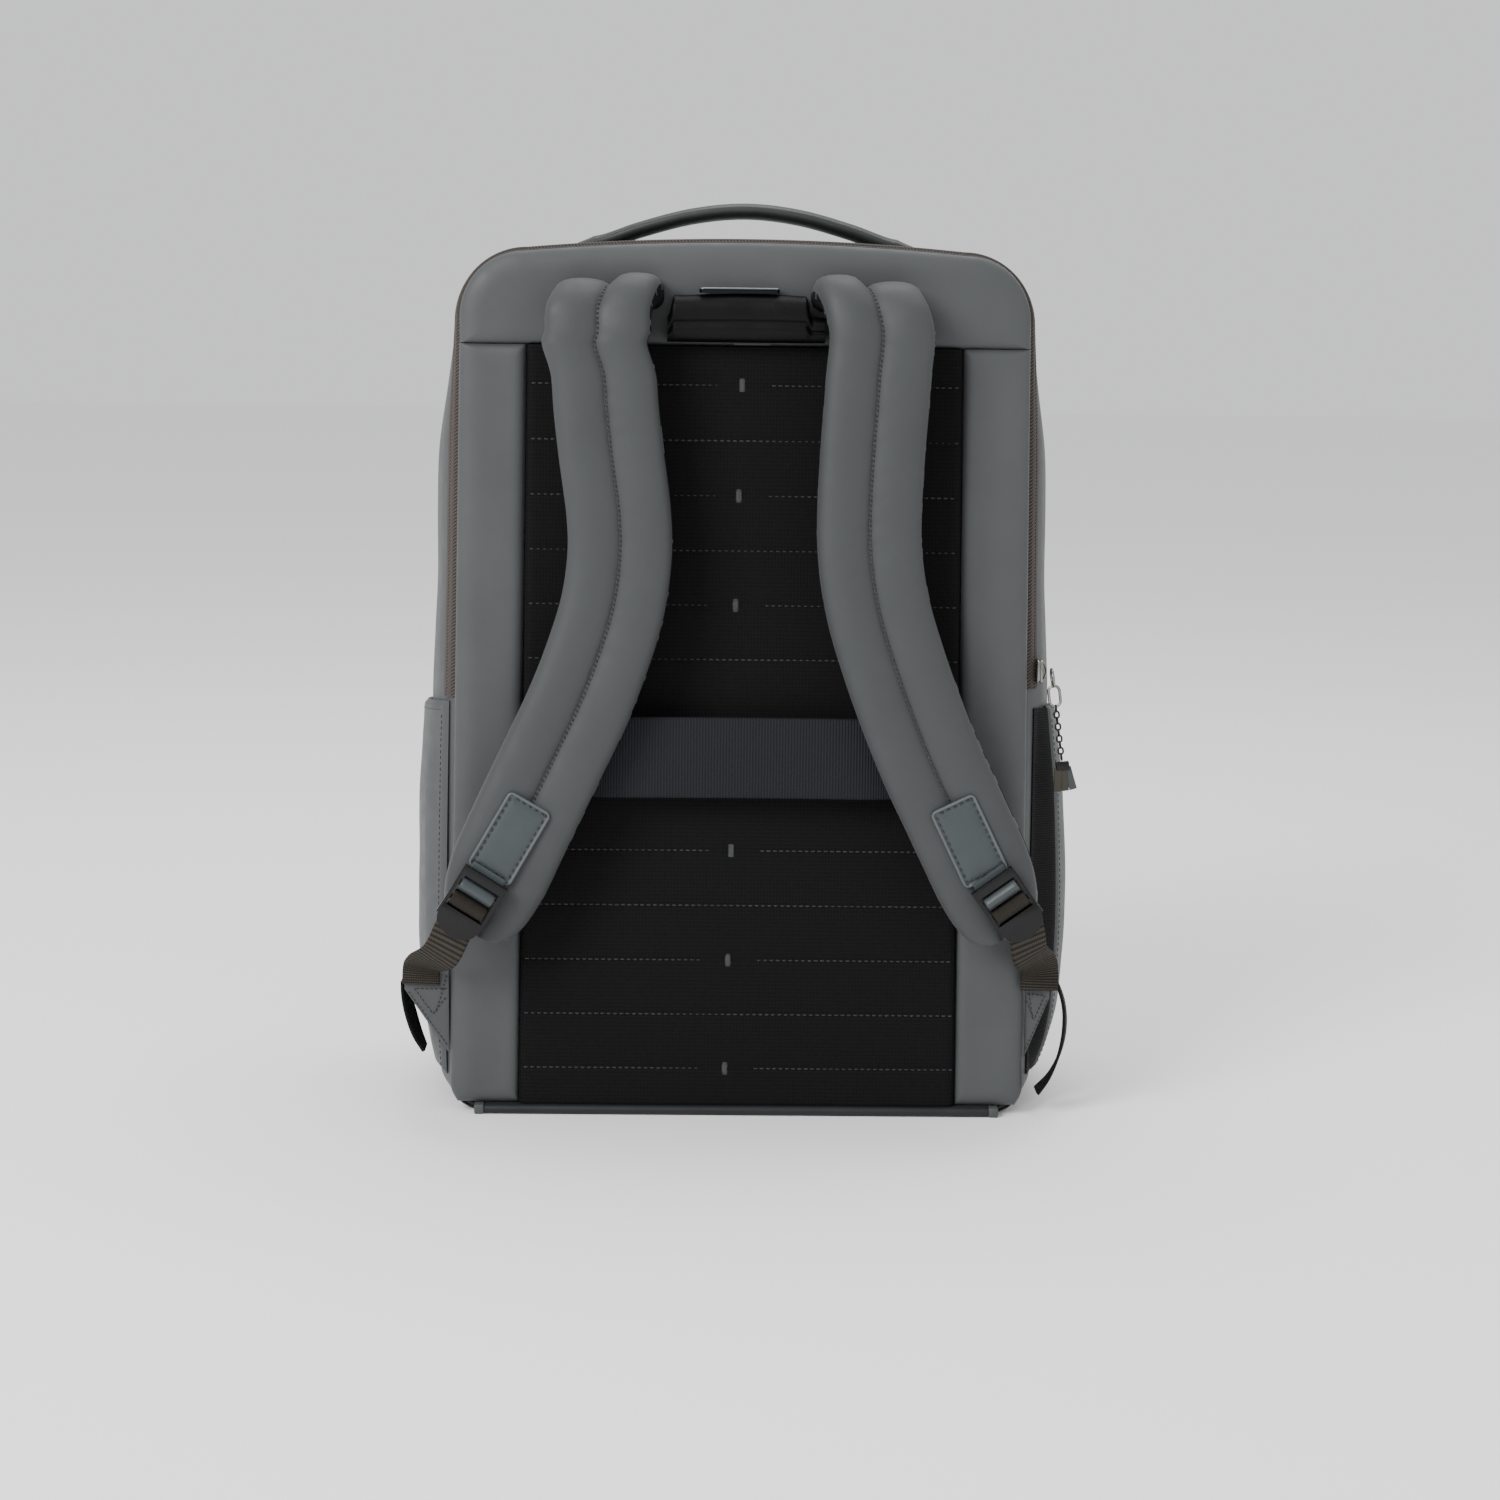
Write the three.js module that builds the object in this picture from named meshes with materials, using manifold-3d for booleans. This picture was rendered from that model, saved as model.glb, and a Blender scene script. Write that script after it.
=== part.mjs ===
// Laptop backpack, in millimetres: +Z up, the strap side faces -Y, the front of the bag faces +Y.
import * as THREE from 'three';
import { mergeVertices } from 'three/addons/utils/BufferGeometryUtils.js';
import Module from 'manifold-3d';

const wasm = await Module();
wasm.setup();

// Driving dimensions
const BACK_HEIGHT = 438;
const BACK_HALF_TOP = 140;
const BACK_HALF_BASE = 146;
const BACK_HALF_MEAN = (BACK_HALF_TOP + BACK_HALF_BASE) / 2;
const BACK_TOP_ARCH = 5;
const BACK_TOP_RADIUS = 32;
const BACK_BASE_RADIUS = 16;
const FRONT_DROP = 12;
const FRONT_TAPER = 6;
const FRONT_HEIGHT = BACK_HEIGHT - FRONT_DROP;
const FRONT_HALF_TOP = BACK_HALF_TOP - FRONT_TAPER;
const FRONT_HALF_BASE = BACK_HALF_BASE - FRONT_TAPER;
const FRONT_TOP_ARCH = 6;
const FRONT_TOP_RADIUS = 48;
const FRONT_BASE_RADIUS = 20;
const DEPTH_AT_BASE = 150;
const DEPTH_AT_TOP = 112;
const SIDE_SWELL = 16;
const TOP_SWELL = 3;
const FRONT_CROWN = 9;
const CLOTH_WALL = 3;
const GAP = 0.3;

const PAD_BACK = 8;
const PAD_CROWN = 2;
const PAD_EDGE_ROLL = 3.2;
const PAD_FOOT = 5.3;
const YOKE_HEIGHT = 50;
const YOKE_SEAM = BACK_HEIGHT - YOKE_HEIGHT;
const STRIP_WIDTH_TOP = 33;
const STRIP_WIDTH_BASE = 35;
const MESH_HALF_TOP = BACK_HALF_TOP - STRIP_WIDTH_TOP;
const MESH_HALF_BASE = BACK_HALF_BASE - STRIP_WIDTH_BASE;
const CHANNEL_DEPTH = 2.4;
const UPPER_CHANNEL_DROP = 19;
const UPPER_CHANNEL_TOP = YOKE_SEAM - UPPER_CHANNEL_DROP;
const UPPER_CHANNEL_PITCH = 27.1;
const UPPER_CHANNELS = 6;
const LOWER_CHANNEL_TOP = 137;
const LOWER_CHANNEL_PITCH = 28.1;
const LOWER_CHANNELS = 5;

const BAND_HALF_LENGTH = MESH_HALF_BASE - 1;
const BAND_HEIGHT = 40.5;
const BAND_FOOT = 166;
const BAND_THICKNESS = 1.8;
const BAND_BOW = 13;

const STRAP_WIDTH = 51;
const STRAP_THICKNESS = 15;
const STRAP_FORWARD = 29;
const STRAP_ROOT_DROP = 32.5;
const STRAP_ROOT_HEIGHT = BACK_HEIGHT - STRAP_ROOT_DROP;
const STRAP_SEAM_DEPTH = 3.4;

const ROLL_HALF = 28;
const ROLL_LIP_HALF = 38.4;
const ROLL_FOOT = YOKE_SEAM + 2;
const ROLL_HEIGHT = 23.5;
const ROLL_LIP_HEIGHT = 12.6;
const ROLL_DEPTH = 13;
const PLATE_LENGTH = 39;
const PLATE_WIDTH = 8;
const PLATE_THICKNESS = 2.6;

const PATCH_WIDTH = 23.7;
const PATCH_LENGTH = 42.2;
const PATCH_THICKNESS = 2;
const PATCH_CORNER = 3;

const BUCKLE_WIDTH = 24;
const BUCKLE_LENGTH = 27;
const BUCKLE_THICKNESS = 4;
const BUCKLE_RAIL = 2;
const THUMB_TAB = 8;
const LOOP_THICKNESS = 1.4;

const WEBBING_WIDTH = 19;
const WEBBING_THICKNESS = 1.6;
const SIDE_SEAM = BACK_HALF_BASE + GAP;
const TAB_THICKNESS = 2.4;
const TAB_FOOT = 30;
const TAB_TIP = 66;
const TAB_TIP_WIDTH = 4;
const TAB_TOP = 79;
const TAB_DEPTH = 4;
const TAIL_WIDTH = 15;

const TAPE_WIDTH = 10;
const TAPE_THICKNESS = 1.5;
const TAPE_STAND = 0.4;
const TAPE_LEFT_END = 212;
const TAPE_RIGHT_END = 219;
const SLIDER_HEIGHT = 12;
const RING_RADIUS = 4.4;
const RING_WIRE = 0.75;
const OVAL_LENGTH = 10.5;
const OVAL_WIDTH = 5.6;
const LINK_WIRE = 0.5;
const LINK_COUNT = 9;
const LINK_LENGTH = 3.3;
const LINK_WIDTH = 2.4;
const PULLER_OUT = 5.96;
const PULLER_BACK = 1.57;
const PULLER_UP = 1.94;
const PULLER_LEAN = 6.7;
const PULLER_DROP = 48;
const TASSEL_LENGTH = 15;

const POCKET_TOP = 210;
const POCKET_FOOT = 17;
const POCKET_WALL = 2.4;
const LEFT_POCKET_FULLNESS = 6.5;
const RIGHT_POCKET_FULLNESS = 11.5;

const HANDLE_WIDTH = 22;
const HANDLE_THICKNESS = 6;
const HANDLE_HALF_SPAN = 78;
const HANDLE_RISE = 16.5;
const HANDLE_DEPTH_SHARE = 0.36;
const HANDLE_FOOT_LENGTH = 12;

const RAIL_HALF_LENGTH = BACK_HALF_BASE - BACK_BASE_RADIUS - 2;
const RAIL_HEIGHT = 5;
const RAIL_FORWARD = 3.4;
const RAIL_TAB = 5;

// Materials
function finish(color, roughness, metalness = 0) {
  return new THREE.MeshStandardMaterial({ color, roughness, metalness });
}

const greyCloth = finish(0x6a6d6b, 0.75);
const blackMesh = finish(0x18181a, 0.95);
const bandWeave = finish(0x2f3136, 0.8);
const tapeWeave = finish(0x6b605c, 0.85);
const webbingWeave = finish(0x6a625c, 0.85);
const tailWeave = finish(0x1c1b1b, 0.85);
const rollCloth = finish(0x17181b, 0.45);
const patchLeather = finish(0x5b6163, 0.55);
const blackPlastic = finish(0x17171a, 0.4);
const plateMetal = finish(0x1c1e20, 0.35, 0.8);
const blackNickel = finish(0x35332f, 0.35, 1);
const tasselLeather = finish(0x4a463a, 0.6);
const handleCover = finish(0x3a3d3b, 0.6);
const railCover = finish(0x35383b, 0.6);

const backpack = new THREE.Group();

function addPiece(name, geometry, material) {
  const mesh = new THREE.Mesh(geometry, material);
  mesh.name = name;
  backpack.add(mesh);
  return mesh;
}

// Closed meshes from points and triangles, turned so that their faces point outwards
function signedVolume(points, triangles) {
  let sum = 0;
  for (const [a, b, c] of triangles) {
    const cross = new THREE.Vector3().crossVectors(points[b], points[c]);
    sum += points[a].dot(cross) / 6;
  }
  return sum;
}

function closedGeometry(points, triangles) {
  const inward = signedVolume(points, triangles) < 0;
  const index = triangles.flatMap(([a, b, c]) => (inward ? [a, c, b] : [a, b, c]));
  const geometry = new THREE.BufferGeometry();
  const numbers = points.flatMap((place) => [place.x, place.y, place.z]);
  geometry.setAttribute('position', new THREE.Float32BufferAttribute(numbers, 3));
  geometry.setIndex(index);
  return geometry;
}

// A thin wall between two grids of points with the same rows and columns
function slab(outer, inner) {
  const rows = outer.length;
  const columns = outer[0].length;
  const points = [...outer.flat(), ...inner.flat()];
  const front = (r, c) => r * columns + c;
  const back = (r, c) => rows * columns + r * columns + c;
  const triangles = [];
  const quad = (a, b, c, d) => triangles.push([a, b, c], [a, c, d]);
  for (let r = 0; r < rows - 1; r += 1) {
    for (let c = 0; c < columns - 1; c += 1) {
      quad(front(r, c), front(r, c + 1), front(r + 1, c + 1), front(r + 1, c));
      quad(back(r, c), back(r + 1, c), back(r + 1, c + 1), back(r, c + 1));
    }
    quad(front(r, 0), front(r + 1, 0), back(r + 1, 0), back(r, 0));
    quad(front(r + 1, columns - 1), front(r, columns - 1), back(r, columns - 1), back(r + 1, columns - 1));
  }
  for (let c = 0; c < columns - 1; c += 1) {
    quad(front(0, c + 1), front(0, c), back(0, c), back(0, c + 1));
    quad(front(rows - 1, c), front(rows - 1, c + 1), back(rows - 1, c + 1), back(rows - 1, c));
  }
  return closedGeometry(points, triangles);
}

// A solid through closed sections with the same number of points, capped at both ends
function loft(sections) {
  const count = sections[0].length;
  const points = sections.flat();
  const triangles = [];
  for (let s = 0; s < sections.length - 1; s += 1) {
    for (let k = 0; k < count; k += 1) {
      const a = s * count + k;
      const b = s * count + ((k + 1) % count);
      triangles.push([a, b, b + count], [a, b + count, a + count]);
    }
  }
  const cap = (first, turned) => {
    const centre = points.length;
    const middle = new THREE.Vector3();
    for (let k = 0; k < count; k += 1) {
      middle.addScaledVector(points[first + k], 1 / count);
    }
    points.push(middle);
    for (let k = 0; k < count; k += 1) {
      const a = first + k;
      const b = first + ((k + 1) % count);
      triangles.push(turned ? [centre, a, b] : [centre, b, a]);
    }
  };
  cap(0, false);
  cap((sections.length - 1) * count, true);
  return closedGeometry(points, triangles);
}

function positionOnly(geometry) {
  const bare = geometry.clone();
  bare.deleteAttribute('normal');
  bare.deleteAttribute('uv');
  return mergeVertices(bare);
}

function toManifold(geometry) {
  const merged = positionOnly(geometry);
  return new wasm.Manifold(new wasm.Mesh({
    numProp: 3,
    vertProperties: new Float32Array(merged.attributes.position.array),
    triVerts: new Uint32Array(merged.index.array),
  }));
}

function fuse(geometries) {
  const joined = geometries.map(toManifold).reduce((sum, next) => sum.add(next)).getMesh();
  const geometry = new THREE.BufferGeometry();
  geometry.setAttribute('position', new THREE.BufferAttribute(joined.vertProperties, 3));
  geometry.setIndex(new THREE.BufferAttribute(joined.triVerts, 1));
  return geometry;
}

const point = (x, y, z) => new THREE.Vector3(x, y, z);
const mix = THREE.MathUtils.lerp;

function tableValue(rows, key, column, at) {
  const last = rows.length - 1;
  const k = Math.min(Math.max(rows.findIndex((row) => row[key] >= at), 1), last);
  const share = (at - rows[k - 1][key]) / (rows[k][key] - rows[k - 1][key]);
  const eased = THREE.MathUtils.clamp(share, 0, 1);
  return mix(rows[k - 1][column], rows[k][column], eased);
}

// The two outlines that the body is stretched between: the back edge and the front edge
const backOutline = {
  height: BACK_HEIGHT,
  halfTop: BACK_HALF_TOP,
  halfBase: BACK_HALF_BASE,
  arch: BACK_TOP_ARCH,
  topRadius: BACK_TOP_RADIUS,
  baseRadius: BACK_BASE_RADIUS,
};

const frontOutline = {
  height: FRONT_HEIGHT,
  halfTop: FRONT_HALF_TOP,
  halfBase: FRONT_HALF_BASE,
  arch: FRONT_TOP_ARCH,
  topRadius: FRONT_TOP_RADIUS,
  baseRadius: FRONT_BASE_RADIUS,
};

const BASE_STEPS = 4;
const BASE_ARC_STEPS = 3;
const SIDE_STEPS = 10;
const TOP_ARC_STEPS = 5;
const TOP_STEPS = 6;

function rightHalfOutline(o) {
  const loop = [];
  const shoulder = o.height - o.arch - o.topRadius;
  const wideAt = (z) => mix(o.halfBase, o.halfTop, THREE.MathUtils.clamp(z / shoulder, 0, 1));
  const baseHalf = wideAt(o.baseRadius);
  for (let k = 0; k < BASE_STEPS / 2; k += 1) {
    loop.push([((baseHalf - o.baseRadius) * k) / (BASE_STEPS / 2), 0]);
  }
  for (let k = 0; k <= BASE_ARC_STEPS; k += 1) {
    const turn = (k / BASE_ARC_STEPS) * (Math.PI / 2);
    loop.push([baseHalf - o.baseRadius * (1 - Math.sin(turn)), o.baseRadius * (1 - Math.cos(turn))]);
  }
  for (let k = 1; k < SIDE_STEPS; k += 1) {
    const z = mix(o.baseRadius, shoulder, k / SIDE_STEPS);
    loop.push([wideAt(z), z]);
  }
  for (let k = 0; k <= TOP_ARC_STEPS; k += 1) {
    const turn = (k / TOP_ARC_STEPS) * (Math.PI / 2);
    loop.push([o.halfTop - o.topRadius * (1 - Math.cos(turn)), shoulder + o.topRadius * Math.sin(turn)]);
  }
  const flatHalf = o.halfTop - o.topRadius;
  for (let k = 1; k <= TOP_STEPS / 2; k += 1) {
    const x = flatHalf * (1 - k / (TOP_STEPS / 2));
    loop.push([x, o.height - o.arch * (x / flatHalf) ** 2]);
  }
  return loop;
}

function closedOutline(o) {
  const right = rightHalfOutline(o);
  const left = right.slice(1, -1).reverse().map(([x, z]) => [-x, z]);
  return [...right, ...left];
}

const backLoop = closedOutline(backOutline);
const frontLoop = closedOutline(frontOutline);
const LOOP_COUNT = backLoop.length;
const RIGHT_BASE_END = BASE_STEPS / 2 + BASE_ARC_STEPS;
const RIGHT_SIDE_END = RIGHT_BASE_END + SIDE_STEPS;

function loopPoint(loop, at) {
  const whole = Math.floor(at);
  const a = loop[(whole + LOOP_COUNT) % LOOP_COUNT];
  const b = loop[(whole + 1 + LOOP_COUNT) % LOOP_COUNT];
  return [mix(a[0], b[0], at - whole), mix(a[1], b[1], at - whole)];
}

function loopNormal(loop, at) {
  const reach = 0.5;
  const before = loopPoint(loop, at - reach);
  const after = loopPoint(loop, at + reach);
  return new THREE.Vector2(after[1] - before[1], before[0] - after[0]).normalize();
}

function frontDepth(z) {
  return mix(DEPTH_AT_BASE, DEPTH_AT_TOP, z / FRONT_HEIGHT);
}

// How the gusset swells outwards between the back edge and the front edge
const gussetSwell = [
  { depth: 0, swell: 0 },
  { depth: 0.06, swell: 0.3 },
  { depth: 0.16, swell: 0.68 },
  { depth: 0.36, swell: 1 },
  { depth: 0.62, swell: 1 },
  { depth: 0.86, swell: 0.62 },
  { depth: 1, swell: 0 },
];

// How much of the side swell there is at each share of the back's height
const sideFullness = [
  { height: 0, swell: 0.66 },
  { height: 0.115, swell: 0.82 },
  { height: 0.25, swell: 0.94 },
  { height: 0.48, swell: 1.12 },
  { height: 0.565, swell: 1.06 },
  { height: 0.63, swell: 0.99 },
  { height: 0.715, swell: 1 },
  { height: 0.785, swell: 0.95 },
  { height: 0.855, swell: 0.68 },
  { height: 0.92, swell: 0.42 },
  { height: 1, swell: 0.3 },
];

// A corner of the gusset's facets: a whole place along the outline, on one row of the swell table
function gussetCorner(at, row, outwards) {
  const share = row.depth;
  const back = loopPoint(backLoop, at);
  const front = loopPoint(frontLoop, at);
  const normal = loopNormal(backLoop, at);
  const sideSwell = SIDE_SWELL * tableValue(sideFullness, 'height', 'swell', back[1] / BACK_HEIGHT);
  const x = mix(back[0], front[0], share) + normal.x * (row.swell * sideSwell + outwards);
  const lift = normal.y * outwards + Math.max(normal.y, 0) * row.swell * TOP_SWELL;
  const z = mix(back[1], front[1], share) + lift;
  const y = mix(PAD_BACK + GAP, frontDepth(mix(back[1], front[1], share)), share);
  return point(x, y, z);
}

// Any point on those facets: at = place along the outline, share = place from back to front
function gussetPoint(at, share, outwards) {
  const whole = Math.floor(at);
  const k = Math.max(gussetSwell.findIndex((row) => row.depth >= share), 1);
  const [near, far] = [gussetSwell[k - 1], gussetSwell[k]];
  const part = (share - near.depth) / (far.depth - near.depth);
  const along = (place) => gussetCorner(place, near, outwards).lerp(gussetCorner(place, far, outwards), part);
  return along(whole).lerp(along(whole + 1), at - whole);
}

function gussetPanel(places) {
  const shares = gussetSwell.map((row) => row.depth);
  const surface = (outwards) => places.map((at) => shares.map((share) => gussetPoint(at, share, outwards)));
  return slab(surface(0), surface(-CLOTH_WALL));
}

// Whole places between two ends, each end drawn in by half a gap
function placesBetween(first, last) {
  const half = (at, next) => {
    const a = loopPoint(backLoop, at);
    const b = loopPoint(backLoop, next);
    return (GAP / 2) / Math.hypot(b[0] - a[0], b[1] - a[1]);
  };
  const places = [first + half(first, first + 1)];
  for (let k = first + 1; k < last; k += 1) {
    places.push(k);
  }
  places.push(last - half(last, last - 1));
  return places;
}

function addBodyPanels() {
  const leftSideStart = LOOP_COUNT - RIGHT_SIDE_END;
  const leftBaseStart = LOOP_COUNT - RIGHT_BASE_END;
  addPiece('side_panel_right', gussetPanel(placesBetween(RIGHT_BASE_END, RIGHT_SIDE_END)), greyCloth);
  addPiece('top_panel', gussetPanel(placesBetween(RIGHT_SIDE_END, leftSideStart)), greyCloth);
  addPiece('side_panel_left', gussetPanel(placesBetween(leftSideStart, leftBaseStart)), greyCloth);
  addPiece('base_panel', gussetPanel(placesBetween(-RIGHT_BASE_END, RIGHT_BASE_END)), greyCloth);
}

// The front panel is a crowned lid over the front edge of the gusset
function addFrontPanel() {
  const rings = [1, 0.9, 0.55];
  const centre = FRONT_HEIGHT / 2;
  const lid = (share, at, lift) => {
    const [x, z] = frontLoop[at];
    const height = mix(centre, z, share);
    const y = frontDepth(height) + GAP + lift + FRONT_CROWN * (1 - share ** 2.5);
    return point(x * share, y, height);
  };
  const points = [];
  const triangles = [];
  const addSkin = (lift) => {
    const start = points.length;
    rings.forEach((share) => frontLoop.forEach((_, at) => points.push(lid(share, at, lift))));
    points.push(point(0, frontDepth(centre) + GAP + lift + FRONT_CROWN, centre));
    return start;
  };
  const outer = addSkin(CLOTH_WALL);
  const inner = addSkin(0);
  const facets = (start, turned) => {
    const add = (a, b, c) => triangles.push(turned ? [a, c, b] : [a, b, c]);
    for (let k = 0; k < LOOP_COUNT; k += 1) {
      const next = (k + 1) % LOOP_COUNT;
      for (let r = 0; r < rings.length - 1; r += 1) {
        const here = start + r * LOOP_COUNT;
        add(here + k, here + next, here + LOOP_COUNT + next);
        add(here + k, here + LOOP_COUNT + next, here + LOOP_COUNT + k);
      }
      const last = start + (rings.length - 1) * LOOP_COUNT;
      add(last + k, last + next, start + rings.length * LOOP_COUNT);
    }
  };
  facets(outer, false);
  facets(inner, true);
  for (let k = 0; k < LOOP_COUNT; k += 1) {
    const next = (k + 1) % LOOP_COUNT;
    triangles.push([outer + next, outer + k, inner + k], [outer + next, inner + k, inner + next]);
  }
  addPiece('front_panel', closedGeometry(points, triangles), greyCloth);
}

// Half width of the back edge at a height, with its rounded corners
function backHalfWidth(z) {
  const loop = rightHalfOutline(backOutline);
  const k = loop.findIndex(([, height]) => height >= z && height > 0);
  const [x0, z0] = loop[k - 1];
  const [x1, z1] = loop[k];
  return mix(x0, x1, z1 > z0 ? (z - z0) / (z1 - z0) : 1);
}

function meshHalfWidth(z) {
  return mix(MESH_HALF_BASE, MESH_HALF_TOP, z / YOKE_SEAM);
}

// Across a pad: share of its width, and how far its face stands towards the wearer
const padCrown = [
  { across: 0, rise: -1 },
  { across: 0.1, rise: 0.55 },
  { across: 0.5, rise: 1 },
  { across: 0.9, rise: 0.55 },
  { across: 1, rise: -1 },
];

function padRise(row) {
  return row.rise < 0 ? PAD_EDGE_ROLL : -PAD_CROWN * row.rise;
}

function addYokePad() {
  const columns = backLoop
    .filter(([, z], k) => k > RIGHT_BASE_END && k < LOOP_COUNT - RIGHT_BASE_END && z > YOKE_SEAM);
  const foot = YOKE_SEAM + GAP / 2;
  const column = ([x, top], depthOf) => padCrown.map((row) => (
    point(x, depthOf(row), mix(foot, top, row.across))));
  const edges = (k) => (k === 0 || k === columns.length - 1 ? 1 : 0);
  const face = columns.map((place, k) => column(place, (row) => mix(padRise(row), PAD_EDGE_ROLL, edges(k))));
  const back = columns.map((place) => column(place, () => PAD_BACK));
  addPiece('yoke_pad', slab(face, back), greyCloth);
}

function addStripPads() {
  const top = YOKE_SEAM - GAP / 2;
  const nearFoot = PAD_FOOT + 3;
  const nearTop = top - 5;
  const corners = rightHalfOutline(backOutline).map(([, z]) => z).filter((z) => z > nearFoot && z < nearTop);
  const heights = [PAD_FOOT, nearFoot, ...corners, nearTop, top];
  for (const [name, side] of [['strip_pad_left', -1], ['strip_pad_right', 1]]) {
    const row = (z, depthOf) => padCrown.map((step) => {
      const x = mix(meshHalfWidth(z) + GAP, backHalfWidth(z), step.across);
      return point(side * x, depthOf(step), z);
    });
    const end = (z) => (z === PAD_FOOT || z === top ? 1 : 0);
    const face = heights.map((z) => row(z, (step) => mix(padRise(step), PAD_EDGE_ROLL, end(z))));
    const back = heights.map((z) => row(z, () => PAD_BACK));
    addPiece(name, slab(face, back), greyCloth);
  }
}

// Heights of the stitched channels of the mesh panel, from the top down
function channelHeights() {
  const upper = Array.from({ length: UPPER_CHANNELS }, (_, k) => UPPER_CHANNEL_TOP - k * UPPER_CHANNEL_PITCH);
  const lower = Array.from({ length: LOWER_CHANNELS }, (_, k) => LOWER_CHANNEL_TOP - k * LOWER_CHANNEL_PITCH);
  return [...upper, ...lower];
}

function addMeshPanel() {
  const seams = [YOKE_SEAM - GAP / 2, ...channelHeights(), PAD_FOOT];
  const bulge = [
    { down: 0, rise: 0 },
    { down: 0.22, rise: 0.75 },
    { down: 0.5, rise: 1 },
    { down: 0.78, rise: 0.75 },
  ];
  const rows = [];
  for (let k = 0; k < seams.length - 1; k += 1) {
    bulge.forEach((step) => rows.push({ z: mix(seams[k], seams[k + 1], step.down), rise: step.rise }));
  }
  rows.push({ z: PAD_FOOT, rise: 0 });
  const across = [-1, -0.97, 0, 0.97, 1];
  const face = rows.map(({ z, rise }) => across.map((share) => {
    const edge = Math.abs(share) === 1;
    return point(share * meshHalfWidth(z), edge ? 1 : -CHANNEL_DEPTH * rise, z);
  }));
  const back = rows.map(({ z }) => across.map((share) => point(share * meshHalfWidth(z), PAD_BACK, z)));
  addPiece('mesh_panel', slab(face, back), blackMesh);
}

// A band of cloth along a path: sections across it, from rows of place, width direction and face direction
function ribbon(path, width, thickness) {
  return loft(path.map(({ at, across, facing }) => {
    const corner = (u, v) => at.clone()
      .addScaledVector(across, (u * width) / 2)
      .addScaledVector(facing, (v * thickness) / 2);
    return [corner(-1, -1), corner(1, -1), corner(1, 1), corner(-1, 1)];
  }));
}

// Places along a curve with their own width direction, turned to lie square to the curve
function framed(places, acrossAt) {
  const curve = new THREE.CatmullRomCurve3(places.map((place) => place.clone()), false, 'centripetal');
  return (count) => Array.from({ length: count + 1 }, (_, k) => {
    const share = k / count;
    const at = curve.getPoint(share);
    const along = curve.getTangent(share);
    const across = acrossAt(share).clone();
    across.addScaledVector(along, -across.dot(along)).normalize();
    const facing = new THREE.Vector3().crossVectors(along, across).normalize();
    return { at, along, across, facing };
  });
}

// From the band's end to its middle: share of its half length, and of its bow; the end dips into the seam
const bandBow = [
  { along: 1, bow: -0.15 },
  { along: 0.96, bow: 0 },
  { along: 0.84, bow: 0.46 },
  { along: 0.6, bow: 1 },
  { along: 0.3, bow: 1 },
  { along: 0, bow: 1 },
];

// The band across the back, sewn down at both ends and bowed away between them
function addPassBand() {
  const middle = BAND_FOOT + BAND_HEIGHT / 2;
  const stand = CHANNEL_DEPTH + GAP + BAND_THICKNESS / 2;
  const right = bandBow.map(({ along, bow }) => (
    point(along * BAND_HALF_LENGTH, -stand - bow * BAND_BOW, middle)));
  const rows = [...right.slice(0, -1).map(({ x, y, z }) => point(-x, y, z)), ...right.reverse()];
  const path = framed(rows, () => point(0, 0, 1))(24);
  addPiece('pass_band', ribbon(path, BAND_HEIGHT, BAND_THICKNESS), bandWeave);
}

// Route of a shoulder strap's centre seam below its arch: heights as shares of the back's height,
// and distances from the middle of the back as shares of its half width
const strapRoute = [
  { height: 0.888, left: 0.475, right: 0.449, forward: 1 },
  { height: 0.833, left: 0.473, right: 0.443, forward: 1 },
  { height: 0.776, left: 0.455, right: 0.432, forward: 1 },
  { height: 0.702, left: 0.425, right: 0.424, forward: 1 },
  { height: 0.658, left: 0.421, right: 0.429, forward: 1 },
  { height: 0.601, left: 0.443, right: 0.458, forward: 1 },
  { height: 0.543, left: 0.495, right: 0.512, forward: 1 },
  { height: 0.483, left: 0.566, right: 0.58, forward: 1 },
  { height: 0.423, left: 0.652, right: 0.657, forward: 1 },
  { height: 0.364, left: 0.737, right: 0.745, forward: 1 },
  { height: 0.29, left: 0.838, right: 0.85, forward: 0.97 },
  { height: 0.226, left: 0.909, right: 0.913, forward: 0.93 },
];

// The arch at the root: out from the yoke, over the roll and down
const strapArch = [
  { forward: 0.13, rise: 6, out: 0.385 },
  { forward: 0.4, rise: 7.2, out: 0.39 },
  { forward: 0.68, rise: 6.2, out: 0.402 },
  { forward: 0.91, rise: 0, out: 0.425 },
  { forward: 1, rise: -10, out: 0.446 },
];

// Half of the strap's section, from its back edge to the stitched seam in front: shares of half width and
// half thickness
const strapSection = [
  { across: 0.9, face: -1 },
  { across: 1, face: -0.5 },
  { across: 1, face: 0.25 },
  { across: 0.9, face: 0.8 },
  { across: 0.52, face: 1 },
  { across: 0.13, face: 0.84 },
];

function strapPlaces(side) {
  const half = BACK_HALF_MEAN;
  const column = side < 0 ? 'left' : 'right';
  const arch = strapArch.map((row) => (
    point(side * row.out * half, -row.forward * STRAP_FORWARD, STRAP_ROOT_HEIGHT + row.rise)));
  const route = strapRoute.map((row) => (
    point(side * row[column] * half, -row.forward * STRAP_FORWARD, row.height * BACK_HEIGHT)));
  return [...arch, ...route];
}

// The strap isn't turned sideways in its arch, where it would crease, and lies square to its route lower down
function squareToStrap(frame) {
  const square = THREE.MathUtils.smoothstep(STRAP_ROOT_HEIGHT - frame.at.z, 15, 60);
  const along = frame.along.clone();
  along.x *= square;
  along.normalize();
  frame.across.set(1, 0, 0).addScaledVector(along, -along.x).normalize();
  frame.facing.crossVectors(along, frame.across).normalize();
}

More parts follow.
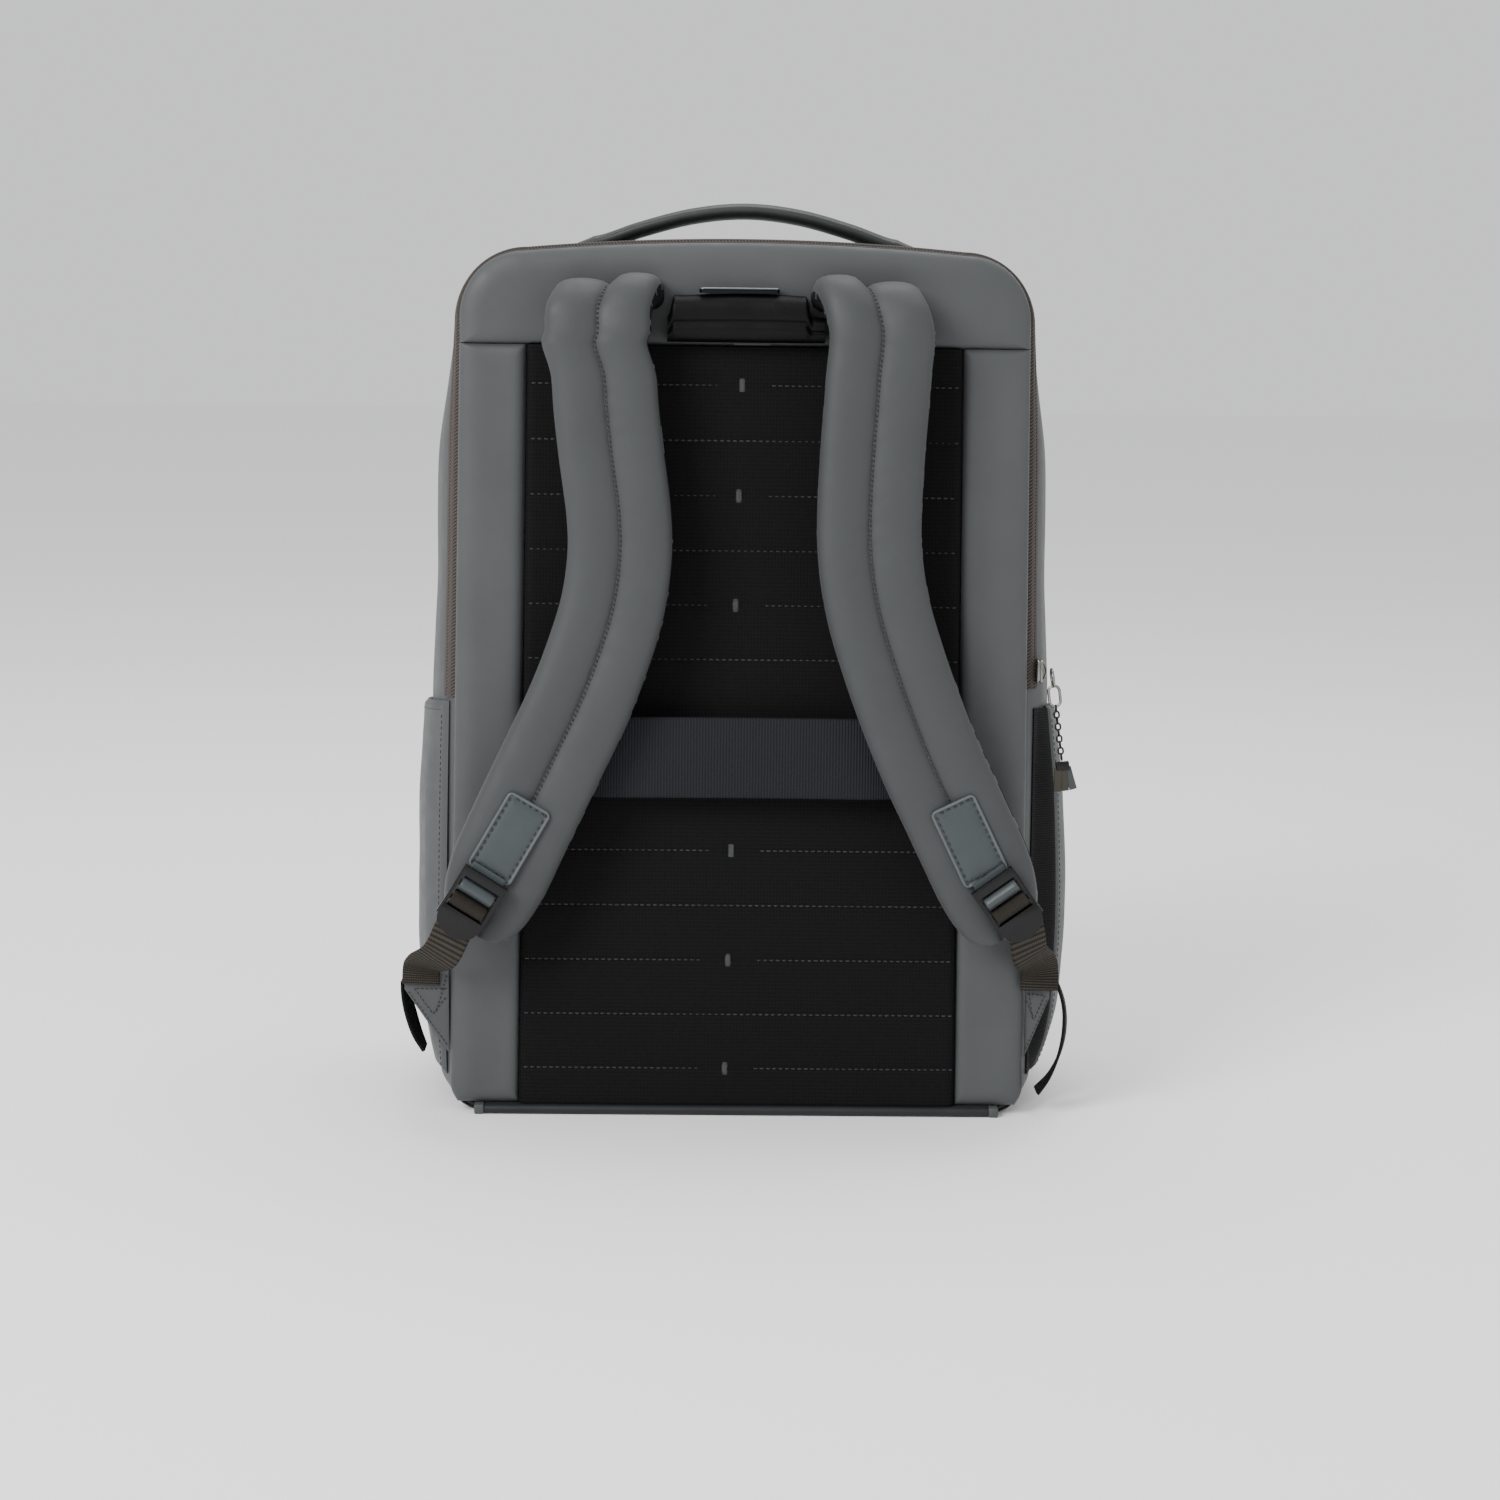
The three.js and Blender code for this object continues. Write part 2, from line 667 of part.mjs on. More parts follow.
function addStrap(name, side) {
  const frames = framed(strapPlaces(side), () => point(1, 0, 0))(34);
  frames.forEach((frame) => squareToStrap(frame));
  const taper = (k) => {
    const left = (frames.length - 1 - k) / 3;
    const round = left >= 1 ? 1 : Math.sqrt(1 - (1 - left) ** 2);
    return mix(0.42, 1, round);
  };
  const sections = frames.map(({ at, across, facing }, k) => {
    const width = (STRAP_WIDTH / 2) * taper(k);
    const thick = STRAP_THICKNESS / 2;
    const place = (u, v) => at.clone().addScaledVector(across, u).addScaledVector(facing, v);
    const rightHalf = strapSection.map((row) => place(row.across * width, row.face * thick));
    const leftHalf = [...strapSection].reverse().map((row) => place(-row.across * width, row.face * thick));
    return [...rightHalf, place(0, thick - STRAP_SEAM_DEPTH), ...leftHalf];
  });
  addPiece(name, loft(sections), greyCloth);
}

// The padded roll between the strap roots: a closed profile in depth and height, as shares
const rollProfile = [
  { forward: 0, up: 0 },
  { forward: 0.45, up: 0 },
  { forward: 0.78, up: 0.08 },
  { forward: 0.92, up: 0.28 },
  { forward: 0.84, up: 0.42 },
  { forward: 1, up: 0.56 },
  { forward: 0.96, up: 0.8 },
  { forward: 0.74, up: 0.95 },
  { forward: 0.4, up: 1 },
  { forward: 0, up: 0.97 },
];

function addRoll() {
  const front = -PAD_CROWN - GAP;
  const ends = [
    { x: -ROLL_LIP_HALF, height: ROLL_LIP_HEIGHT, depth: 0.9 },
    { x: -ROLL_HALF - 1, height: ROLL_LIP_HEIGHT, depth: 0.95 },
    { x: -ROLL_HALF, height: ROLL_HEIGHT * 0.96, depth: 0.97 },
    { x: -ROLL_HALF / 2, height: ROLL_HEIGHT, depth: 1 },
    { x: ROLL_HALF / 2, height: ROLL_HEIGHT, depth: 1 },
    { x: ROLL_HALF, height: ROLL_HEIGHT * 0.96, depth: 0.97 },
    { x: ROLL_HALF + 1, height: ROLL_LIP_HEIGHT, depth: 0.95 },
    { x: ROLL_LIP_HALF, height: ROLL_LIP_HEIGHT, depth: 0.9 },
  ];
  const sections = ends.map(({ x, height, depth }) => rollProfile.map((row) => (
    point(x, front - row.forward * depth * ROLL_DEPTH, ROLL_FOOT + row.up * height))));
  addPiece('strap_bridge_roll', loft(sections), rollCloth);
}

function roundedRectangle(width, length, radius) {
  const shape = new THREE.Shape();
  const x = width / 2 - radius;
  const y = length / 2 - radius;
  shape.absarc(x, y, radius, 0, Math.PI / 2);
  shape.absarc(-x, y, radius, Math.PI / 2, Math.PI);
  shape.absarc(-x, -y, radius, Math.PI, Math.PI * 1.5);
  shape.absarc(x, -y, radius, Math.PI * 1.5, Math.PI * 2);
  return shape;
}

function extrude(shape, depth, curveSegments = 4) {
  return new THREE.ExtrudeGeometry(shape, { depth, bevelEnabled: false, curveSegments });
}

function addPlate() {
  const geometry = extrude(roundedRectangle(PLATE_LENGTH, PLATE_WIDTH, 2), PLATE_THICKNESS);
  const plate = addPiece('plain_plate', geometry, plateMetal);
  const depth = PAD_CROWN + GAP + ROLL_DEPTH * 0.4;
  plate.position.set(-3.4, -depth - 1, ROLL_FOOT + ROLL_HEIGHT + GAP);
}

// Strap end fittings, which hang a little differently on the two sides. The patch is placed by its middle and
// the buckle by the middle of its top edge: shares of the back's half width and height, tilts in degrees from
// upright. Webbing and tail run from the tab's tip: distance outwards from the seam, distance towards the
// wearer (webbing only) and height over the tip.
const strapEnds = [
  {
    word: 'left',
    side: -1,
    patch: { out: 0.7916, up: 0.3393, tilt: 30 },
    buckle: { out: 0.8671, up: 0.2979, tilt: 32 },
    webbing: [[1.7, 27, 22], [10.7, 11, 14], [13.7, -1.6, 8], [14.2, -2.9, 0]],
    tabReach: 23,
    tabSlant: 0,
    tailDepth: 14,
    tail: [[24.1, 0], [22.7, -8], [20.3, -18], [17.1, -28], [13.3, -36]],
  },
  {
    word: 'right',
    side: 1,
    patch: { out: 0.7839, up: 0.3411, tilt: 26 },
    buckle: { out: 0.8587, up: 0.2995, tilt: 36 },
    webbing: [[-1.3, 26, 24], [4.2, 12, 17], [6.1, 4.2, 10], [6.1, 3.2, 1]],
    tabReach: 12,
    tabSlant: 6,
    tailDepth: 5.7,
    tail: [[14.1, 8], [19.7, -8], [20.5, -22], [18.1, -35], [13.3, -46], [7.1, -54]],
  },
];

// A frame turned to the strap's slope, with x across, y down and z forward
function fittingFrame(side, { out, up, tilt }, forward) {
  const frame = new THREE.Matrix4();
  const slope = THREE.MathUtils.degToRad(tilt) * side;
  const down = point(Math.sin(slope), 0, -Math.cos(slope));
  const forwardAxis = point(0, -1, 0);
  const across = new THREE.Vector3().crossVectors(down, forwardAxis);
  frame.makeBasis(across, down, forwardAxis);
  frame.setPosition(side * out * BACK_HALF_MEAN, -forward, up * BACK_HEIGHT);
  return frame;
}

const STRAP_FACE = STRAP_FORWARD + STRAP_THICKNESS / 2;

function addPatch(name, { side, patch }) {
  const geometry = extrude(roundedRectangle(PATCH_WIDTH, PATCH_LENGTH, PATCH_CORNER), PATCH_THICKNESS);
  geometry.applyMatrix4(fittingFrame(side, patch, STRAP_FACE + GAP));
  addPiece(name, geometry, patchLeather);
}

// Along the buckle, from its top edge: where each bar starts and ends
const bars = {
  top: [0, 4.5],
  loop: [7.6, 10.2],
  webbing: [15.8, 18.2],
  foot: [21.4, BUCKLE_LENGTH],
};

function box(x0, x1, y0, y1, z0, z1) {
  const geometry = new THREE.BoxGeometry(x1 - x0, y1 - y0, z1 - z0);
  geometry.translate((x0 + x1) / 2, (y0 + y1) / 2, (z0 + z1) / 2);
  return geometry;
}

const BUCKLE_FORWARD = STRAP_FACE + 6.3;
const HIDDEN_BAR_HALF = 1.1;

function addBuckle(name, { side, buckle }) {
  const half = BUCKLE_WIDTH / 2;
  const thick = BUCKLE_THICKNESS / 2;
  const bar = ([start, end], halfDepth) => box(-half + 1, half - 1, start, end, -halfDepth, halfDepth);
  const thumb = new THREE.Shape();
  thumb.moveTo(half - 1, 0);
  thumb.absellipse(0, 0, half - 1, THUMB_TAB, 0, Math.PI, false, 0);
  const tab = extrude(thumb, BUCKLE_THICKNESS - 1, 8);
  tab.translate(0, BUCKLE_LENGTH - 0.5, -thick + 0.5);
  const pieces = [
    box(-half, -half + BUCKLE_RAIL, 0, BUCKLE_LENGTH, -thick, thick),
    box(half - BUCKLE_RAIL, half, 0, BUCKLE_LENGTH, -thick, thick),
    bar(bars.top, thick),
    bar(bars.loop, HIDDEN_BAR_HALF),
    bar(bars.webbing, HIDDEN_BAR_HALF),
    bar(bars.foot, thick),
    tab,
  ];
  const geometry = fuse(pieces);
  geometry.applyMatrix4(fittingFrame(side, buckle, BUCKLE_FORWARD));
  addPiece(name, geometry, blackPlastic);
}

// The leather loop comes from under the patch, up behind the top bar and over its own bar
function addLoop(name, { side, buckle }) {
  const low = -BUCKLE_THICKNESS / 2 - GAP - LOOP_THICKNESS / 2;
  const places = [
    point(0, -3, low),
    point(0, 4.9, low),
    point(0, 6.3, -0.6),
    point(0, 7, 2),
    point(0, 8.9, 3.1),
    point(0, 10.9, 2),
    point(0, 11.6, -0.4),
    point(0, 11.6, low),
  ];
  const path = framed(places, () => point(1, 0, 0))(16);
  const geometry = ribbon(path, BUCKLE_WIDTH - 2 * BUCKLE_RAIL - 2, LOOP_THICKNESS);
  geometry.applyMatrix4(fittingFrame(side, buckle, BUCKLE_FORWARD));
  addPiece(name, geometry, patchLeather);
}

// Webbing over its bar, then behind the foot of the buckle and round to the anchor tab
function addWebbing(name, { side, buckle, webbing }) {
  const frame = fittingFrame(side, buckle, BUCKLE_FORWARD);
  const low = -BUCKLE_THICKNESS / 2 - GAP - WEBBING_THICKNESS / 2;
  const overBar = [
    point(0, 13.9, low),
    point(0, 14.1, -0.4),
    point(0, 14.8, 2.2),
    point(0, 17, 3.4),
    point(0, 19, 2.2),
    point(0, 19.8, -0.4),
    point(0, 20.6, low),
    point(0, 29, low - 0.8),
  ].map((place) => place.applyMatrix4(frame));
  const toTab = webbing.map(([out, forward, up]) => point(side * (SIDE_SEAM + out), -forward, TAB_TIP + up));
  const start = new THREE.Vector3().setFromMatrixColumn(frame, 0);
  const finishAcross = point(-1, 0, 0);
  const turn = (share) => start.clone().lerp(finishAcross, THREE.MathUtils.smoothstep(share, 0.7, 1));
  const path = framed([...overBar, ...toTab], turn)(30);
  addPiece(name, ribbon(path, WEBBING_WIDTH, WEBBING_THICKNESS), webbingWeave);
}

// The triangular tab sewn into the lower side seam: its tip points outwards and may slant towards the wearer
function addAnchorTab(name, { side, tabReach, tabSlant }) {
  const seam = SIDE_SEAM;
  const outline = [
    [seam, TAB_FOOT],
    [seam + tabReach, TAB_TIP - TAB_TIP_WIDTH / 2],
    [seam + tabReach - TAB_TIP_WIDTH / 2, TAB_TIP + TAB_TIP_WIDTH / 2],
    [seam, TAB_TOP],
  ];
  const face = (depth) => outline.map(([x, z]) => (
    point(side * x, depth - (tabSlant * (x - seam)) / tabReach, z)));
  const faces = side > 0 ? [TAB_DEPTH + TAB_THICKNESS, TAB_DEPTH] : [TAB_DEPTH, TAB_DEPTH + TAB_THICKNESS];
  addPiece(name, loft(faces.map(face)), greyCloth);
}

// Free tail of the webbing, hanging edge on beside the tab
function addTail(name, { side, tail, tailDepth }) {
  const places = tail.map(([out, up]) => point(side * (SIDE_SEAM + out), tailDepth, TAB_TIP + up));
  const path = framed(places, () => point(0, 1, 0))(10);
  addPiece(name, ribbon(path, TAIL_WIDTH, WEBBING_THICKNESS), tailWeave);
}

// A side pocket: how far it stands off the side panel, down its height and from back to front
const leftPocket = {
  down: [
    { share: 0, stand: 0.15 },
    { share: 0.25, stand: 0.7 },
    { share: 0.55, stand: 1 },
    { share: 0.82, stand: 0.9 },
    { share: 0.93, stand: 0.5 },
    { share: 1, stand: 0 },
  ],
  depth: [
    { share: 0.03, stand: 0.1 },
    { share: 0.16, stand: 0.75 },
    { share: 0.4, stand: 1 },
    { share: 0.65, stand: 1 },
    { share: 0.8, stand: 0.6 },
    { share: 0.9, stand: 0 },
  ],
};

const rightPocket = {
  down: [
    { share: 0, stand: 0.12 },
    { share: 0.115, stand: 0.4 },
    { share: 0.24, stand: 0.68 },
    { share: 0.54, stand: 1 },
    { share: 0.82, stand: 0.88 },
    { share: 0.93, stand: 0.5 },
    { share: 1, stand: 0 },
  ],
  depth: [
    { share: 0.14, stand: 0.74 },
    { share: 0.25, stand: 1 },
    { share: 0.45, stand: 0.85 },
    { share: 0.65, stand: 0.75 },
    { share: 0.8, stand: 0.45 },
    { share: 0.9, stand: 0 },
  ],
};

// Place along the right half of the outline at a height on the side
function sidePlace(z) {
  const low = backLoop[RIGHT_BASE_END][1];
  const high = backLoop[RIGHT_SIDE_END][1];
  return RIGHT_BASE_END + ((z - low) / (high - low)) * SIDE_STEPS;
}

function sidePoint(side, at, share, outwards) {
  const place = gussetPoint(at, share, outwards);
  place.x *= side;
  return place;
}

// Values from first to last with every whole or listed value between them
function stepsBetween(first, last, marks) {
  return [first, ...marks.filter((mark) => mark > first && mark < last), last];
}

const pocketPlaces = stepsBetween(
  sidePlace(POCKET_FOOT),
  sidePlace(POCKET_TOP),
  Array.from({ length: SIDE_STEPS }, (_, k) => RIGHT_BASE_END + k),
);

function pocketStand(table, fullness, at, share) {
  const top = pocketPlaces[pocketPlaces.length - 1];
  const down = (top - at) / (top - pocketPlaces[0]);
  const byHeight = tableValue(table.down, 'share', 'stand', down);
  return GAP + fullness * byHeight * tableValue(table.depth, 'share', 'stand', share);
}

function addPocket(name, side, table, fullness) {
  const { depth } = table;
  const marks = [...gussetSwell.map((row) => row.depth), ...depth.map((row) => row.share)];
  marks.sort((a, b) => a - b);
  const shares = stepsBetween(depth[0].share, depth[depth.length - 1].share, [...new Set(marks)]);
  const surface = (extra) => pocketPlaces.map((at) => shares.map((share) => (
    sidePoint(side, at, share, pocketStand(table, fullness, at, share) + extra))));
  addPiece(name, slab(surface(POCKET_WALL), surface(0)), greyCloth);
}

// The stretch gusset slants from the side panel's back seam to the inside of the open pocket's back edge
function addPocketGusset() {
  const edge = rightPocket.depth[0].share;
  const rows = (seamShare, edgeShare) => pocketPlaces.map((at) => {
    const reach = pocketStand(rightPocket, RIGHT_POCKET_FULLNESS, at, edge) + POCKET_WALL / 2;
    return [sidePoint(1, at, seamShare, GAP), sidePoint(1, at, edgeShare, reach)];
  });
  addPiece('pocket_gusset_right', slab(rows(0.04, 0.122), rows(0.058, 0.136)), blackMesh);
}

// The zip tape follows the back edge, from the left side over the top to the right side
function addZipTape() {
  const leftEnd = LOOP_COUNT - sidePlace(TAPE_LEFT_END);
  const rightEnd = sidePlace(TAPE_RIGHT_END);
  const places = [rightEnd];
  for (let k = Math.ceil(rightEnd); k < leftEnd; k += 1) {
    places.push(k);
  }
  places.push(leftEnd);
  const depthShare = TAPE_WIDTH / DEPTH_AT_BASE;
  const shares = [0.004, depthShare / 2, gussetSwell[1].depth, depthShare];
  const surface = (outwards) => places.map((at) => shares.map((share) => gussetPoint(at, share, outwards)));
  addPiece('zip_tape', slab(surface(TAPE_STAND + TAPE_THICKNESS), surface(TAPE_STAND)), tapeWeave);
}

function addSlider() {
  const foot = sidePoint(1, sidePlace(TAPE_RIGHT_END + 3), 0.035, GAP * 2 + TAPE_THICKNESS);
  const body = extrude(roundedRectangle(8, SLIDER_HEIGHT, 2.5), 3, 3);
  const bridge = box(-1.6, 1.6, -3.5, 3.5, 2.5, 5);
  const geometry = fuse([body, bridge]);
  geometry.rotateX(Math.PI / 2);
  geometry.rotateZ(Math.PI / 2);
  const slider = addPiece('zip_slider', geometry, blackNickel);
  slider.position.set(foot.x + 2.2, foot.y, foot.z + SLIDER_HEIGHT / 2);
  return slider.position;
}

function ringGeometry(length, width, wire, segments) {
  const geometry = new THREE.TorusGeometry(width / 2, wire, 5, segments);
  geometry.scale(1, length / width, 1);
  return geometry;
}

// Pull chain: a round ring, an oval link and a run of small links, fused into one body
function addPuller(sliderPlace) {
  const top = sliderPlace.clone().add(point(PULLER_OUT, -PULLER_BACK, PULLER_UP));
  const run = point(PULLER_LEAN, 0, -PULLER_DROP);
  const lean = Math.atan2(run.x, -run.z);
  const links = [];
  let down = 0;
  const hang = (length, width, wire, segments, turn) => {
    const geometry = ringGeometry(length, width, wire, segments);
    geometry.rotateX(Math.PI / 2);
    geometry.rotateZ(turn);
    geometry.translate(0, 0, -down - length / 2 - wire);
    links.push(geometry);
    down += length - 0.4 * wire;
  };
  const quarter = Math.PI / 2;
  hang(RING_RADIUS * 2, RING_RADIUS * 2, RING_WIRE, 14, quarter);
  hang(OVAL_LENGTH, OVAL_WIDTH, RING_WIRE, 12, 0);
  for (let k = 0; k < LINK_COUNT; k += 1) {
    hang(LINK_LENGTH, LINK_WIDTH, LINK_WIRE, 10, ((k + 1) % 2) * quarter);
  }
  const geometry = fuse(links);
  geometry.rotateY(-lean);
  geometry.translate(top.x, top.y, top.z);
  addPiece('puller_chain', geometry, blackNickel);
  return { top, lean, down };
}

// Three leather strips fused to a small head
function addTassel({ top, lean, down }) {
  const head = box(-3.4, 3.4, -1.6, 1.6, -4.2, 0);
  const strips = [-1, 0, 1].map((k) => {
    const strip = box(-1.9, 1.9, -0.7, 0.7, -TASSEL_LENGTH, -3);
    strip.rotateY(-0.16 * k);
    strip.translate(1.8 * k, 0.55 * k, 0);
    return strip;
  });
  const geometry = fuse([head, ...strips]);
  geometry.translate(0, 0, -down - 2.4 * LINK_WIRE - GAP);
  geometry.rotateY(-lean);
  geometry.translate(top.x, top.y, top.z);
  addPiece('puller_tassel', geometry, tasselLeather);
}

// Grab handle: a padded strap arched over the top panel, from one foot to the middle
const handleArch = [
  { along: 1, rise: 0 },
  { along: 0.72, rise: 0.42 },
  { along: 0.36, rise: 0.84 },
  { along: 0, rise: 1 },
];

// Place along the outline at a distance to the right of the middle of the top
function topPlace(x) {
  const flatHalf = BACK_HALF_TOP - BACK_TOP_RADIUS;
  return LOOP_COUNT / 2 - (x / flatHalf) * (TOP_STEPS / 2);
}

function addHandle() {
  const lift = 2 * GAP + HANDLE_THICKNESS / 2;
  const footAt = (x) => gussetPoint(topPlace(x), HANDLE_DEPTH_SHARE, lift);
  const inner = footAt(HANDLE_HALF_SPAN);
  const outer = footAt(HANDLE_HALF_SPAN + HANDLE_FOOT_LENGTH);
  const rise = BACK_HEIGHT + HANDLE_RISE - HANDLE_THICKNESS / 2 - inner.z;
  const right = handleArch.map((row) => point(row.along * inner.x, inner.y, inner.z + row.rise * rise));
  const mirrored = (place) => point(-place.x, place.y, place.z);
  const places = [outer, ...right, ...right.slice(0, -1).reverse().map(mirrored), mirrored(outer)];
  const slope = gussetPoint(topPlace(0), HANDLE_DEPTH_SHARE + 0.1, 0)
    .sub(gussetPoint(topPlace(0), HANDLE_DEPTH_SHARE - 0.1, 0));
  const frames = framed(places, () => slope)(28);
  const rim = [[1, -0.4], [1, 0.4], [0.75, 1], [-0.75, 1], [-1, 0.4], [-1, -0.4], [-0.75, -1], [0.75, -1]];
  const sections = frames.map(({ at, across, facing }) => rim.map(([u, v]) => at.clone()
    .addScaledVector(across, (u * HANDLE_WIDTH) / 2)
    .addScaledVector(facing, (v * HANDLE_THICKNESS) / 2)));
  addPiece('top_handle', loft(sections), handleCover);
}

// Piping along the foot of the back, with a small tab over each end
function addBaseRail() {
  const profile = [
    [-RAIL_FORWARD, RAIL_HEIGHT * 0.3],
    [-RAIL_FORWARD, RAIL_HEIGHT * 0.7],
    [-RAIL_FORWARD * 0.5, RAIL_HEIGHT],
    [PAD_BACK, RAIL_HEIGHT],
    [PAD_BACK, 0],
    [-RAIL_FORWARD * 0.5, 0],
  ];
  const section = (x) => profile.map(([y, z]) => point(x, y, z));
  addPiece('base_rail', loft([section(-RAIL_HALF_LENGTH), section(RAIL_HALF_LENGTH)]), railCover);
  for (const [name, side] of [['rail_tab_left', -1], ['rail_tab_right', 1]]) {
    const start = side * (RAIL_HALF_LENGTH + GAP);
    const end = start + side * RAIL_TAB;
    addPiece(name, loft([section(start), section(end)]), railCover);
  }
}

addBodyPanels();
addFrontPanel();
addYokePad();
addStripPads();
addMeshPanel();
addPassBand();
addRoll();
addPlate();
for (const end of strapEnds) {
  addStrap(`shoulder_strap_${end.word}`, end.side);
  addPatch(`strap_patch_${end.word}`, end);
  addBuckle(`buckle_${end.word}`, end);
  addLoop(`buckle_loop_${end.word}`, end);
  addWebbing(`webbing_${end.word}`, end);
  addAnchorTab(`anchor_tab_${end.word}`, end);
  addTail(`webbing_tail_${end.word}`, end);
}
addPocket('side_pocket_left', -1, leftPocket, LEFT_POCKET_FULLNESS);
addPocket('side_pocket_right', 1, rightPocket, RIGHT_POCKET_FULLNESS);
addPocketGusset();
addZipTape();
const sliderPlace = addSlider();
addTassel(addPuller(sliderPlace));
addHandle();
addBaseRail();

// The origin is at the middle of the bounding box's foot
const bounds = new THREE.Box3().setFromObject(backpack, true);
const middle = bounds.getCenter(new THREE.Vector3());
backpack.position.set(-middle.x, -middle.y, -bounds.min.z);

const placed = new THREE.Group();
placed.add(backpack);

export default placed;
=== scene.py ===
# Laptop backpack in metres: +Z up, the strap side faces -Y, the front of the bag faces +Y.
import math

import bmesh
import bpy
import numpy as np
from mathutils import Matrix, Vector, noise


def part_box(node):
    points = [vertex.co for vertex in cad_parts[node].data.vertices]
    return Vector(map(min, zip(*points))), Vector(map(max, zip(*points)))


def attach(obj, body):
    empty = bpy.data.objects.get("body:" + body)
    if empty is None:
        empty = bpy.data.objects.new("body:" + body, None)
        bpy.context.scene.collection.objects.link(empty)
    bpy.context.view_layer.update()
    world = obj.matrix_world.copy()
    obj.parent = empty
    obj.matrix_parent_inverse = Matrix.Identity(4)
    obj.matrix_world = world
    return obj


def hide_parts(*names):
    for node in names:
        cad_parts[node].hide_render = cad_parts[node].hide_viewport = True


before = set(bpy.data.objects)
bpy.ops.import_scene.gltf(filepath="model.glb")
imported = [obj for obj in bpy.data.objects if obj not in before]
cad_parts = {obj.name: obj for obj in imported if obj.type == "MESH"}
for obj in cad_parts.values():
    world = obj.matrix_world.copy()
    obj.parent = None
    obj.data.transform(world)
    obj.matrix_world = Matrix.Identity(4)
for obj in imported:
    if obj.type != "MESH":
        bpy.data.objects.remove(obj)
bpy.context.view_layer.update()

# Camera
# A long lens looks down on the strap side from a little left of the middle.
bpy.ops.object.camera_add(location=(-0.0235, -1.5359, 0.4154))
camera = bpy.context.object
camera.name = "view_camera"
camera.data.lens = 72
camera.data.sensor_width = 36
yaw, pitch, roll = math.radians(1.1), math.radians(8.72), math.radians(0.72)
looking = Vector((math.sin(yaw) * math.cos(pitch), math.cos(yaw) * math.cos(pitch), -math.sin(pitch)))
level = Vector((math.cos(yaw), -math.sin(yaw), 0))
upright = Vector((math.sin(yaw) * math.sin(pitch), math.cos(yaw) * math.sin(pitch), math.cos(pitch)))
right = level * math.cos(roll) + upright * math.sin(roll)
up = upright * math.cos(roll) - level * math.sin(roll)
camera.rotation_euler = Matrix((right, up, -looking)).transposed().to_euler()
bpy.context.scene.camera = camera

# Gusset: the side walls, top and base of the bag
# One long strip of coated polyester, sewn to the back pads and to the front panel.
# It is full in the middle of its depth, pulled in at both seams, and soft enough to crease at the base.
BACK_EDGE = {"height": 438, "half_top": 140, "half_base": 146, "arch": 5, "top_radius": 32, "base_radius": 16}
FRONT_EDGE = {"height": 426, "half_top": 134, "half_base": 140, "arch": 6, "top_radius": 48,
              "base_radius": 20}
DEPTH_AT_BASE = 150
DEPTH_AT_TOP = 112
GUSSET_BACK = 8.3
SIDE_SWELL = 16
TOP_SWELL = 3
CLOTH_WALL = 2.2
GUSSET_SWELL = [(0, 0), (0.06, 0.3), (0.16, 0.68), (0.36, 1), (0.62, 1), (0.86, 0.62), (1, 0)]
SIDE_FULLNESS = [(0, 0.66), (0.115, 0.82), (0.25, 0.94), (0.48, 1.12), (0.565, 1.06), (0.63, 0.99),
                 (0.715, 1), (0.785, 0.95), (0.855, 0.68), (0.92, 0.42), (1, 0.3)]
PLACES = 46
BASE_END, SIDE_END, TOP_ARC_END, TOP_MIDDLE = 5, 15, 20, 23

panel_low, panel_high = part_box("mesh_panel")
middle_x = (panel_low.x + panel_high.x) / 2
wearer_y = panel_high.y - 0.008


def at(x, y, z):
    """A place in metres from millimetres: x from the middle, y from the pads' seam plane, z from the base."""
    return Vector((middle_x + x / 1000, wearer_y + y / 1000, z / 1000))


def mix(a, b, share):
    return a + (b - a) * share


def clamp(value, low=0.0, high=1.0):
    return max(low, min(high, value))


def smooth_step(value, low, high):
    share = clamp((value - low) / (high - low))
    return share * share * (3 - 2 * share)


def eased(table, place):
    """A value read from a short table along a smooth curve through its rows."""
    if place <= table[0][0]:
        return table[0][1]
    if place >= table[-1][0]:
        return table[-1][1]
    k = next(i for i in range(1, len(table)) if table[i][0] >= place)

    def slope(i):
        a, b = table[max(i - 1, 0)], table[min(i + 1, len(table) - 1)]
        return (b[1] - a[1]) / (b[0] - a[0])

    (x0, y0), (x1, y1) = table[k - 1], table[k]
    span = x1 - x0
    s = (place - x0) / span
    return ((2 * s**3 - 3 * s**2 + 1) * y0 + (s**3 - 2 * s**2 + s) * span * slope(k - 1)
            + (3 * s**2 - 2 * s**3) * y1 + (s**3 - s**2) * span * slope(k))


def shoulder_height(edge):
    """Where an edge's straight side ends and its top corner begins."""
    return edge["height"] - edge["arch"] - edge["top_radius"]


def edge_place(edge, t):
    """A place on a body edge: t runs from the middle of the base up the right side and round to the left."""
    t %= PLACES
    turned = t > TOP_MIDDLE
    if turned:
        t = PLACES - t
    shoulder = shoulder_height(edge)
    base_half = mix(edge["half_base"], edge["half_top"], edge["base_radius"] / shoulder)
    radius = edge["base_radius"]
    if t <= 2:
        x, z = (base_half - radius) * t / 2, 0
    elif t <= BASE_END:
        turn = (t - 2) / 3 * math.pi / 2
        x, z = base_half - radius * (1 - math.sin(turn)), radius * (1 - math.cos(turn))
    elif t <= SIDE_END:
        z = mix(radius, shoulder, (t - BASE_END) / 10)
        x = mix(edge["half_base"], edge["half_top"], z / shoulder)
    elif t <= TOP_ARC_END:
        turn = (t - SIDE_END) / 5 * math.pi / 2
        radius = edge["top_radius"]
        x, z = edge["half_top"] - radius * (1 - math.cos(turn)), shoulder + radius * math.sin(turn)
    else:
        flat = edge["half_top"] - edge["top_radius"]
        x = flat * (1 - (t - TOP_ARC_END) / 3)
        z = edge["height"] - edge["arch"] * (x / flat) ** 2
    return (-x if turned else x), z


